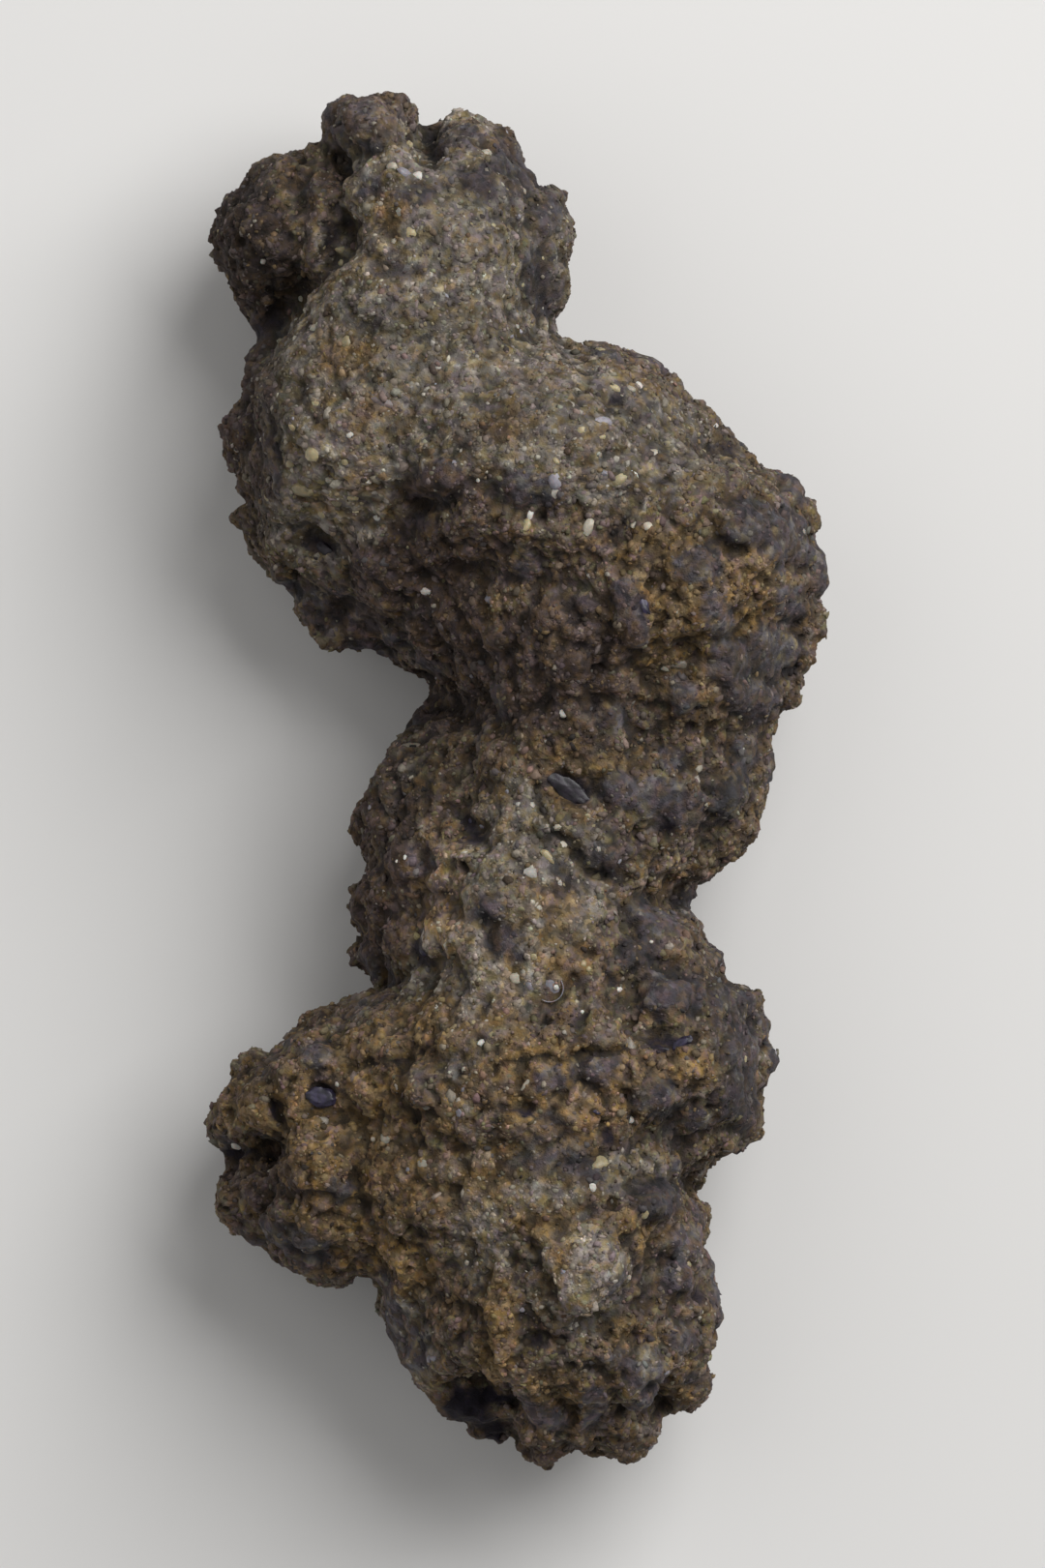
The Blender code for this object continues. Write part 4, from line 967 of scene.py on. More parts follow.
class Paint:
    """A material's node tree, built up by short calls."""

    def __init__(self, name: str) -> None:
        """Starts a material with a plain Principled shader."""
        self.material = bpy.data.materials.new(name)
        self.material.use_nodes = True
        self.tree = self.material.node_tree
        self.shader = self.tree.nodes["Principled BSDF"]
        self.place = self.tree.nodes.new("ShaderNodeTexCoord").outputs["Object"]

    def noise(self, size: float, detail: float, roughness: float = 0.6) -> bpy.types.NodeSocket:
        """Noise from 0 to 1.

        Args:
            size: The size of its swells in millimetres.
            detail: How many finer layers it has.
            roughness: How strong those layers are.

        Returns:
            The socket with the noise.
        """
        node = self.tree.nodes.new("ShaderNodeTexNoise")
        node.inputs["Scale"].default_value = 1.0 / (size * MM)
        node.inputs["Detail"].default_value = detail
        node.inputs["Roughness"].default_value = roughness
        self.tree.links.new(self.place, node.inputs["Vector"])
        return node.outputs["Fac"]

    def warped(self, size: float, reach: float) -> bpy.types.NodeSocket:
        """The place, pushed about by noise.

        Args:
            size: The size of the noise's swells in millimetres.
            reach: How far it is pushed, in millimetres.

        Returns:
            The socket with the place.
        """
        push = self.tree.nodes.new("ShaderNodeTexNoise")
        push.inputs["Scale"].default_value = 1.0 / (size * MM)
        push.inputs["Detail"].default_value = 2.0
        self.tree.links.new(self.place, push.inputs["Vector"])
        node = self.tree.nodes.new("ShaderNodeVectorMath")
        node.operation = "MULTIPLY_ADD"
        node.inputs[1].default_value = (2.0 * reach * MM,) * 3
        self.tree.links.new(push.outputs["Color"], node.inputs[0])
        self.tree.links.new(self.place, node.inputs[2])
        return node.outputs["Vector"]

    def cells(self, size: float, place: bpy.types.NodeSocket) -> bpy.types.NodeSocket:
        """A random colour for each of many packed cells.

        Args:
            size: The size of a cell in millimetres.
            place: Where they are read.

        Returns:
            The socket with the colour.
        """
        node = self.tree.nodes.new("ShaderNodeTexVoronoi")
        node.inputs["Scale"].default_value = 1.0 / (size * MM)
        self.tree.links.new(place, node.inputs["Vector"])
        return node.outputs["Color"]

    def tint(self) -> bpy.types.NodeSocket:
        """The colour that the mesh carries at each point."""
        node = self.tree.nodes.new("ShaderNodeAttribute")
        node.attribute_name = TINT
        return node.outputs["Color"]

    def spread(
        self, value: bpy.types.NodeSocket, lows: tuple[float, float], highs: tuple[float, float]
    ) -> bpy.types.NodeSocket:
        """Brings a value from one range to another, held at its ends.

        Args:
            value: The socket to read.
            lows: The range it comes from.
            highs: The range it goes to.

        Returns:
            The new socket.
        """
        node = self.tree.nodes.new("ShaderNodeMapRange")
        node.inputs["From Min"].default_value = lows[0]
        node.inputs["From Max"].default_value = lows[1]
        node.inputs["To Min"].default_value = highs[0]
        node.inputs["To Max"].default_value = highs[1]
        self.tree.links.new(value, node.inputs["Value"])
        return node.outputs["Result"]

    def mix(
        self,
        share: bpy.types.NodeSocket | float,
        first: bpy.types.NodeSocket | Tone,
        second: bpy.types.NodeSocket | Tone,
        blend: str = "MIX",
    ) -> bpy.types.NodeSocket:
        """Mixes two colours.

        Args:
            share: How much of the second there is.
            first: A socket or a tone.
            second: A socket or a tone.
            blend: How they are mixed.

        Returns:
            The socket with the mixed colour.
        """
        node = self.tree.nodes.new("ShaderNodeMix")
        node.data_type = "RGBA"
        node.blend_type = blend
        if isinstance(share, float):
            node.inputs[0].default_value = share
        else:
            self.tree.links.new(share, node.inputs[0])
        for slot, colour in ((6, first), (7, second)):
            if isinstance(colour, Tone):
                node.inputs[slot].default_value = colour.linear
            else:
                self.tree.links.new(colour, node.inputs[slot])
        return node.outputs[2]

    def shaded(self, colour: bpy.types.NodeSocket, light: bpy.types.NodeSocket) -> bpy.types.NodeSocket:
        """A colour made lighter or darker by a value."""
        return self.mix(1.0, colour, light, "MULTIPLY")

    def bump(self, height: bpy.types.NodeSocket, depth: float, strength: float) -> None:
        """Gives the shader fine bumps.

        Args:
            height: The socket with the height.
            depth: The bumps' depth in millimetres.
            strength: How strongly they show.
        """
        node = self.tree.nodes.new("ShaderNodeBump")
        node.inputs["Distance"].default_value = depth * MM
        node.inputs["Strength"].default_value = strength
        self.tree.links.new(height, node.inputs["Height"])
        self.tree.links.new(node.outputs["Normal"], self.shader.inputs["Normal"])

    def gloss(self, roughness: float, specular: float) -> None:
        """Sets how rough the surface is and how strongly it mirrors."""
        self.shader.inputs["Roughness"].default_value = roughness
        self.shader.inputs["Specular IOR Level"].default_value = specular

    def colour(self, colour: bpy.types.NodeSocket) -> None:
        """Gives the shader its colour."""
        self.tree.links.new(colour, self.shader.inputs["Base Color"])


@dataclass(frozen=True)
class EarthMosaic:
    """The patchwork of earth tones that the stone and its grains share, with painted shade in hollows and
    cracks and painted light on what stands out.
    """

    EARTH = (Tone.SOOT, Tone.UMBER, Tone.LOAM, Tone.PLUM, Tone.OLIVE, Tone.ROSE, Tone.DUST)
    SAND = (Tone.UMBER, Tone.LOAM, Tone.MOSS, Tone.MAUVE, Tone.DUST, Tone.SAND, Tone.BONE)
    RUST = (Tone.UMBER, Tone.RUST, Tone.OCHRE, Tone.LOAM, Tone.OCHRE, Tone.ROSE, Tone.AMBER)
    SLATE = (Tone.SOOT, Tone.SLATE, Tone.PLUM, Tone.SLATE, Tone.STEEL, Tone.DUST)
    DARK = (Tone.SOOT, Tone.UMBER, Tone.PLUM, Tone.LOAM)

    coarse_size: float = 0.95
    mottle_size: float = 0.9
    wander: float = 0.55
    fullest: float = 0.92
    hollow_painted_shade: float = 1.9
    crack_painted_shade: float = 0.72

    @staticmethod
    def run(shares: np.ndarray, tones: tuple[Tone, ...]) -> np.ndarray:
        """Colours along a run of tones.

        Args:
            shares: Where along the run each point is, from 0 to 1.
            tones: The tones, evenly spaced.

        Returns:
            A linear colour for each point.
        """
        spots = np.linspace(0.0, 1.0, len(tones))
        lights = np.array([tone.linear[:3] for tone in tones])
        return np.stack([np.interp(shares, spots, lights[:, band]) for band in range(3)], axis=1)

    def colours(
        self, points: np.ndarray, ground: Ground, hollow: np.ndarray, jitter: float, draw: np.random.Generator
    ) -> np.ndarray:
        """The colour of the stone at many points, with painted shade in hollows and cracks, painted light on
        what stands out, and patches painted lighter or darker.

        Args:
            points: Places in millimetres.
            ground: The ground there.
            hollow: How deep in a hollow they lie, in millimetres, which sets the painted shade there.
            jitter: How much each point goes its own way.
            draw: The source of chance.

        Returns:
            A linear colour with alpha for each point.
        """
        count = len(points)
        warp = np.stack([Grit.swell(points, 0.9, shift) for shift in (4.0, 14.0, 24.0)], axis=1)
        coarse = Grit.cells(points + warp * 0.35, self.coarse_size, 31.0)[2]
        mosaic = 0.53 + 0.5 * (coarse - 0.5) + 0.42 * Grit.fractal(points, self.mottle_size, 7.0, 3)
        mosaic += draw.normal(0.0, jitter, count)
        wander = Grit.fractal(points, 1.7, 19.0, 3) * self.wander
        other = Grit.fractal(points, 2.3, 77.0, 3) * self.wander
        colour = self.run(mosaic, self.EARTH)
        for kind, tones, ragged in (
            (ground.sand, self.SAND, wander), (ground.rust, self.RUST, other),
            (ground.slate, self.SLATE, wander * 0.6), (ground.dark_and_shade, self.DARK, other),
        ):
            own = ragged + draw.normal(0.0, jitter * 0.6, count)
            share = np.clip((kind + own - 0.2) / 0.6, 0.0, self.fullest)[:, None]
            colour = colour * (1.0 - share) + self.run(mosaic, tones) * share
        light = np.exp(0.3 * Grit.fractal(points, 0.5, 91.0, 2) + draw.normal(0.0, jitter, count))
        # Painted shade: darker the deeper a point lies in a hollow and along cracks, lighter where it stands
        # out; then the patches painted lighter or darker.
        shade = np.clip(1.12 - self.hollow_painted_shade * hollow, 0.38, 1.22)
        light *= shade * (1.0 - self.crack_painted_shade * ground.crack) * (1.0 + ground.light)
        hue = np.exp(draw.normal(0.0, jitter * 0.35, (count, 3)))
        # Black laid over the colour: tar, and the painted shade of holes, slots and pits.
        tar_and_shade = ground.tar_and_shade[:, None]
        colour = colour * light[:, None] * hue * (1.0 - tar_and_shade) + np.array(Tone.TAR.linear[:3]) * tar_and_shade
        return np.concatenate((colour, np.ones((count, 1))), axis=1)


@dataclass(frozen=True)
class MatrixFinish:
    """The earthy ground mass: a patchwork with flecks."""

    fleck_size: float = 0.46
    warmth_size: float = 0.9
    warp_size: float = 0.8
    warp_reach: float = 0.45
    bump_size: float = 0.28
    bump_depth: float = 0.2
    roughness: float = 0.86

    def material(self) -> bpy.types.Material:
        """Builds the material."""
        paint = Paint("matrix")
        warp = paint.warped(self.warp_size, self.warp_reach)
        flecks = paint.spread(paint.cells(self.fleck_size, warp), (0.15, 0.85), (0.62, 1.45))
        warm = paint.spread(paint.noise(self.warmth_size, 3.0), (0.45, 0.6), (0.0, 1.0))
        colour = paint.shaded(paint.tint(), paint.mix(warm, Tone.COOL, Tone.WARM))
        paint.colour(paint.shaded(colour, flecks))
        paint.gloss(self.roughness, 0.35)
        paint.bump(paint.noise(self.bump_size, 3.0, 0.7), self.bump_depth, 0.9)
        return paint.material


@dataclass(frozen=True)
class GrainFinish:
    """Sand grains in the tones of the ground round them."""

    cloud_size: float = 0.24
    bump_size: float = 0.16
    bump_depth: float = 0.06
    roughness: float = 0.8

    def material(self) -> bpy.types.Material:
        """Builds the material."""
        paint = Paint("sand_grains")
        light = paint.spread(paint.noise(self.cloud_size, 2.0), (0.3, 0.7), (0.7, 1.3))
        paint.colour(paint.shaded(paint.tint(), light))
        paint.gloss(self.roughness, 0.4)
        paint.bump(paint.noise(self.bump_size, 2.0, 0.7), self.bump_depth, 0.7)
        return paint.material


@dataclass(frozen=True)
class TarFinish:
    """Dark glossy inclusions; the lilac gleam on two of them is painted as pale lilac strips."""

    vein_size: float = 0.5
    bump_depth: float = 0.08
    roughness: float = 0.45

    def material(self) -> bpy.types.Material:
        """Builds the material."""
        paint = Paint("tar_gloss")
        veins = paint.spread(paint.noise(self.vein_size, 3.0), (0.42, 0.6), (0.35, 1.3))
        paint.colour(paint.shaded(paint.tint(), veins))
        paint.gloss(self.roughness, 0.5)
        paint.bump(paint.noise(self.vein_size, 3.0), self.bump_depth, 0.5)
        return paint.material


@dataclass(frozen=True)
class CrystalFinish:
    """Pale quartz and shell: a little light goes into them."""

    cloud_size: float = 0.35
    bump_size: float = 0.2
    bump_depth: float = 0.05
    roughness: float = 0.42
    milkiness: float = 0.25
    light_reach: float = 0.4

    def material(self) -> bpy.types.Material:
        """Builds the material."""
        paint = Paint("pale_crystal")
        clouds = paint.spread(paint.noise(self.cloud_size, 4.0), (0.3, 0.7), (0.7, 1.2))
        paint.colour(paint.shaded(paint.tint(), clouds))
        paint.gloss(self.roughness, 0.5)
        paint.shader.inputs["Subsurface Weight"].default_value = self.milkiness
        paint.shader.inputs["Subsurface Scale"].default_value = self.light_reach * MM
        paint.bump(paint.noise(self.bump_size, 3.0), self.bump_depth, 0.5)
        return paint.material


@dataclass
class StoneMass:
    """The stone itself: the solid's form, taken down to its clods, cracks, pits and crumbs."""

    form_voxel: float = 0.48
    form_passes: int = 6
    form_gain: float = -0.04
    skin_voxel: float = 0.345
    most_triangles: int = 198_000
    skin_passes: int = 1
    hollow_passes: int = 14
    near_passes: int = 4
    jitter: float = 0.06
    side_lumps: int = 120
    lump_sizes: tuple[float, float] = (0.8, 2.0)
    clear_of_floor: float = 2.5
    seed: int = 31

    def build(self) -> Skin:
        """Builds the stone's surface as one closed mesh and puts it in place of the solid.

        Returns:
            The surface, for what sits on it.
        """
        relief = Relief()
        mesh = MeshTools.remeshed(self._solid_copy(), self.form_voxel)
        MeshTools.smoothed(mesh, self.form_passes)
        points, normals = MeshTools.read(mesh)
        lumps = self._lumps(points, normals)
        points = relief.nudged(points, normals)
        height = relief.broad(points, normals, lumps) + self.form_gain
        MeshTools.write(mesh, points + normals * height[:, None])
        mesh = MeshTools.remeshed(mesh, self.skin_voxel)
        MeshTools.smoothed(mesh, self.skin_passes)
        points, normals = MeshTools.read(mesh)
        ground = GroundMap.read(points, normals, lumps)
        points = points + normals * relief.fine(points, ground)[:, None]
        MeshTools.write(mesh, self._inside(points))
        mesh = MeshTools.thinned(mesh, self.most_triangles)
        points, normals = MeshTools.read(mesh)
        MeshTools.write(mesh, self._inside(points))
        ground = GroundMap.read(points, normals, lumps)
        bm = bmesh.new()
        bm.from_mesh(mesh)
        bmesh.ops.triangulate(bm, faces=bm.faces[:])
        bm.to_mesh(mesh)
        tree = self._tree(bm)
        bm.free()
        mesh.shade_smooth()
        skin = self._skin(mesh, ground, tree)
        draw = np.random.default_rng(self.seed)
        # The stone's colour goes on its points, with the painted shade and light in it.
        colours = EarthMosaic().colours(skin.points, ground, skin.hollow, self.jitter, draw)
        layer = mesh.color_attributes.new(TINT, "FLOAT_COLOR", "POINT")
        layer.data.foreach_set("color", colours.astype(np.float32).ravel())
        piece = MeshTools.placed("stone_mass", mesh, MatrixFinish().material())
        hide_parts(NODE)
        return skin

    def _lumps(self, points: np.ndarray, normals: np.ndarray) -> list[SideLump]:
        """Scatters nodules over the side walls and the underside.

        Args:
            points: The form's places in millimetres.
            normals: Its directions.

        Returns:
            The nodules.
        """
        draw = np.random.default_rng(self.seed)
        free = np.flatnonzero((points[:, 2] > self.clear_of_floor) & (normals[:, 2] < 0.45))
        chosen = draw.choice(free, self.side_lumps, replace=False)
        return [SideLump(points[at], float(draw.uniform(*self.lump_sizes))) for at in chosen]

    @staticmethod
    def _solid_copy() -> bpy.types.Mesh:
        """A merged copy of the solid's mesh."""
        bm = bmesh.new()
        bm.from_mesh(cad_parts[NODE].data)
        bmesh.ops.remove_doubles(bm, verts=bm.verts[:], dist=0.001 * MM)
        mesh = bpy.data.meshes.new("form")
        bm.to_mesh(mesh)
        bm.free()
        return mesh

    def _inside(self, points: np.ndarray) -> np.ndarray:
        """Keeps the surface above the plane that the stone rests on, and inside the solid's box."""
        low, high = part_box(NODE)
        lows = np.array(low) / MM - np.array((0.5, 0.5, 0.0))
        highs = np.array(high) / MM + np.array((0.5, 0.5, 0.4))
        return np.clip(points, lows, highs)

    @staticmethod
    def _tree(bm: bmesh.types.BMesh) -> BVHTree:
        """A search tree over the surface, in millimetres."""
        grown = bm.copy()
        bmesh.ops.scale(grown, vec=Vector((1.0, 1.0, 1.0)) / MM, verts=grown.verts[:])
        tree = BVHTree.FromBMesh(grown)
        grown.free()
        return tree

    def _skin(self, mesh: bpy.types.Mesh, ground: Ground, tree: BVHTree) -> Skin:
        """Reads the finished mesh as arrays.

        Args:
            mesh: The finished mesh, in triangles.
            ground: The ground at its points.
            tree: Its search tree.

        Returns:
            The surface.
        """
        points, normals = MeshTools.read(mesh)
        corners = np.zeros(len(mesh.polygons) * 3, dtype=np.int32)
        mesh.loops.foreach_get("vertex_index", corners)
        edges = np.zeros(len(mesh.edges) * 2, dtype=np.int32)
        mesh.edges.foreach_get("vertices", edges)
        pairs = edges.reshape(-1, 2)
        hollow = self._hollows(points, normals, pairs, self.hollow_passes)
        hollow += self._hollows(points, normals, pairs, self.near_passes)
        return Skin(points, normals, corners.reshape(-1, 3), ground, hollow, tree)

    @staticmethod
    def _hollows(points: np.ndarray, normals: np.ndarray, edges: np.ndarray, passes: int) -> np.ndarray:
        """How far each point lies below its surroundings.

        Args:
            points: The places in millimetres.
            normals: The directions.
            edges: The pairs of points that are joined.
            passes: How far the surroundings reach.

        Returns:
            The depth at each point in millimetres, below zero on what stands out.
        """
        one, two = edges[:, 0], edges[:, 1]
        count = len(points)
        joined = np.bincount(one, minlength=count) + np.bincount(two, minlength=count)
        evened = points.copy()
        for _ in range(passes):
            sums = [
                np.bincount(one, weights=evened[two, axis], minlength=count)
                + np.bincount(two, weights=evened[one, axis], minlength=count)
                for axis in range(3)
            ]
            evened = np.stack(sums, axis=1) / joined[:, None]
        depth = ((evened - points) * normals).sum(axis=1)
        return depth - np.median(depth)


@dataclass
class SandCrust:
    """Tens of thousands of half-sunk grains that cover the stone, in bands from head to tail."""

    grains: int = 40000
    seed: int = 21
    bands: tuple[str, ...] = ("head", "shoulder", "waist", "belly", "tail")
    half_size: float = 0.165
    size_spread: float = 0.38
    largest: float = 0.42
    flatness: tuple[float, float] = (0.35, 0.65)
    stretch: tuple[float, float] = (0.9, 1.35)
    sunk: tuple[float, float] = (0.15, 0.85)
    jitter: float = 0.13
    lean: float = 0.3
    dents: float = 0.3
    clear_of_floor: float = 0.5

    CLEARED = (("tar_and_shade", 0.95), ("crack", 0.9), ("slate", 0.75))
    OWN_TONES = {
        Tone.SAND: 0.17, Tone.MAUVE: 0.13, Tone.MOSS: 0.12, Tone.OLIVE: 0.08, Tone.OCHRE: 0.12,
        Tone.STEEL: 0.12, Tone.ROSE: 0.06, Tone.PLUM: 0.06, Tone.SOOT: 0.08, Tone.BONE: 0.08,
        Tone.QUARTZ: 0.03, Tone.STRAW: 0.02,
    }
    own_share: float = 0.26

    def build(self, skin: Skin) -> list[bpy.types.Object]:
        """Sows the grains and joins them into one mesh for each band.

        Args:
            skin: The stone's surface.

        Returns:
            The pieces.
        """
        draw = np.random.default_rng(self.seed)
        corner = skin.points[skin.triangles]
        across = np.cross(corner[:, 1] - corner[:, 0], corner[:, 2] - corner[:, 0])
        area = np.linalg.norm(across, axis=1)
        facing = across[:, 2] / np.maximum(area, 1e-12)
        weight = area * (0.72 + 0.28 * smooth_step((facing + 0.6) / 1.2))
        for kind, cleared in self.CLEARED:
            weight *= 1.0 - cleared * vars(skin.ground)[kind][skin.triangles].mean(axis=1)
        weight *= np.clip(1.1 - 1.6 * skin.hollow[skin.triangles].mean(axis=1), 0.35, 1.2)
        weight *= corner[:, :, 2].mean(axis=1) > self.clear_of_floor
        chosen = np.sort(draw.choice(len(weight), self.grains, p=weight / weight.sum()))
        mixing = draw.dirichlet((1.0, 1.0, 1.0), self.grains)
        seats = (corner[chosen] * mixing[:, :, None]).sum(axis=1)
        normals = (skin.normals[skin.triangles[chosen]] * mixing[:, :, None]).sum(axis=1)
        normals /= np.linalg.norm(normals, axis=1)[:, None]
        at = skin.triangles[chosen][:, 0]
        sizes = self.half_size * np.exp(draw.normal(0.0, self.size_spread, self.grains))
        sizes = np.minimum(sizes, self.largest)
        shapes = self._shapes(draw, sizes)
        places = self._turned(draw, shapes, normals)
        sink = sizes * draw.uniform(self.flatness[0], self.flatness[1], self.grains)
        sink *= draw.uniform(self.sunk[0], self.sunk[1], self.grains)
        places += (seats - normals * sink[:, None])[:, None, :]
        places[:, :, 2] = np.maximum(places[:, :, 2], LOWEST)
        finish = GrainFinish().material()
        colours = self._colours(draw, skin, seats, at)
        order = np.argsort(-seats[:, 1], kind="stable")
        share = self.grains // len(self.bands)
        pieces = []
        for rank, band in enumerate(self.bands):
            pick = order[rank * share:(rank + 1) * share]
            mesh = self._joined(f"sand_{band}", places[pick], colours[pick])
            pieces.append(MeshTools.placed(f"sand_{band}", mesh, finish))
        return pieces

    def _shapes(self, draw: np.random.Generator, sizes: np.ndarray) -> np.ndarray:
        """Dented, flattened and stretched pebbles with their thin side up.

        Args:
            draw: The source of chance.
            sizes: Each grain's half size in millimetres.

        Returns:
            The points of each grain about its middle.
        """
        count = len(sizes)
        ball = self._ball()[0]
        dents = 1.0 + draw.uniform(-self.dents, self.dents, (count, len(ball), 1))
        sides = np.stack(
            (
                draw.uniform(self.stretch[0], self.stretch[1], count),
                draw.uniform(0.75, 1.05, count),
                draw.uniform(self.flatness[0], self.flatness[1], count),
            ),
            axis=1,
        )
        return ball[None] * dents * sides[:, None, :] * sizes[:, None, None]

    def _turned(self, draw: np.random.Generator, shapes: np.ndarray, normals: np.ndarray) -> np.ndarray:
        """Turns each grain at random and lays it on the surface, leaning a little.

        Args:
            draw: The source of chance.
            shapes: The grains' points.
            normals: The surface's directions under them.

        Returns:
            The turned points.
        """
        up = normals + draw.normal(0.0, self.lean, normals.shape)
        up /= np.linalg.norm(up, axis=1)[:, None]
        side = np.cross(up, draw.normal(0.0, 1.0, up.shape))
        side /= np.linalg.norm(side, axis=1)[:, None]
        ahead = np.cross(up, side)
        axes = np.stack((side, ahead, up), axis=1)
        return np.einsum("npk,nkc->npc", shapes, axes)

    def _colours(
        self, draw: np.random.Generator, skin: Skin, seats: np.ndarray, at: np.ndarray
    ) -> np.ndarray:
        """Gives each grain the colour of its ground, with the painted shade of its hollow, and some a share
        of a colour of their own.

        Args:
            draw: The source of chance.
            skin: The stone's surface.
            seats: The grains' places in millimetres.
            at: The surface point nearest each grain.

        Returns:
            A linear colour with alpha for each grain.
        """
        ground = Ground(**{name: values[at] for name, values in vars(skin.ground).items()})
        colours = EarthMosaic().colours(seats, ground, skin.hollow[at], self.jitter, draw)
        pale = np.array([tone in (Tone.BONE, Tone.QUARTZ, Tone.STRAW, Tone.SAND) for tone in self.OWN_TONES])
        usual = np.array(list(self.OWN_TONES.values()))
        chances = usual * np.where(pale, 0.25 + 1.5 * ground.sand[:, None], 1.0)
        chances = np.cumsum(chances / chances.sum(axis=1)[:, None], axis=1)
        index = np.minimum((draw.random(len(at))[:, None] > chances).sum(axis=1), len(usual) - 1)
        own = np.array([tone.linear for tone in self.OWN_TONES])[index]
        share = (draw.random(len(at)) < self.own_share) * draw.uniform(0.3, 0.9, len(at))
        share *= (1.0 - ground.tar_and_shade) * (1.0 - 0.6 * ground.crack)
        return colours * (1.0 - share[:, None]) + own * share[:, None]

    @staticmethod
    def _ball() -> tuple[np.ndarray, np.ndarray]:
        """The points and faces of a ball with twenty faces."""
        bm = bmesh.new()
        bmesh.ops.create_icosphere(bm, subdivisions=1, radius=1.0)
        bm.verts.ensure_lookup_table()
        points = np.array([vert.co[:] for vert in bm.verts])
        faces = np.array([[vert.index for vert in face.verts] for face in bm.faces])
        bm.free()
        return points, faces

    def _joined(self, name: str, places: np.ndarray, colours: np.ndarray) -> bpy.types.Mesh:
        """Joins grains into one mesh.

        Args:
            name: The mesh's name.
            places: The points of each grain in millimetres.
            colours: The colour of each grain.

        Returns:
            The mesh, in metres.
        """
        faces = self._ball()[1]
        count, corners = places.shape[:2]
        corner_points = (faces[None] + np.arange(count)[:, None, None] * corners).astype(np.int32)
        mesh = bpy.data.meshes.new(name)
        mesh.vertices.add(count * corners)
        mesh.loops.add(corner_points.size)
        mesh.polygons.add(count * len(faces))
        mesh.vertices.foreach_set("co", (places * MM).astype(np.float32).ravel())
        mesh.loops.foreach_set("vertex_index", corner_points.ravel())
        mesh.polygons.foreach_set("loop_start", np.arange(0, corner_points.size, 3, dtype=np.int32))
        mesh.update(calc_edges=True)
        layer = mesh.color_attributes.new(TINT, "FLOAT_COLOR", "POINT")
        layer.data.foreach_set("color", np.repeat(colours, corners, axis=0).astype(np.float32).ravel())
        return mesh


@dataclass(frozen=True)
class Seat:
    """Where a single pebble, crystal or bead sits, with its tone and how far it stands out."""

    x: float
    y: float
    half_width: float
    half_length: float
    turn: float
    tone: Tone = Tone.SLATE
    proud: float = 0.3
    thickness: float = 0.65


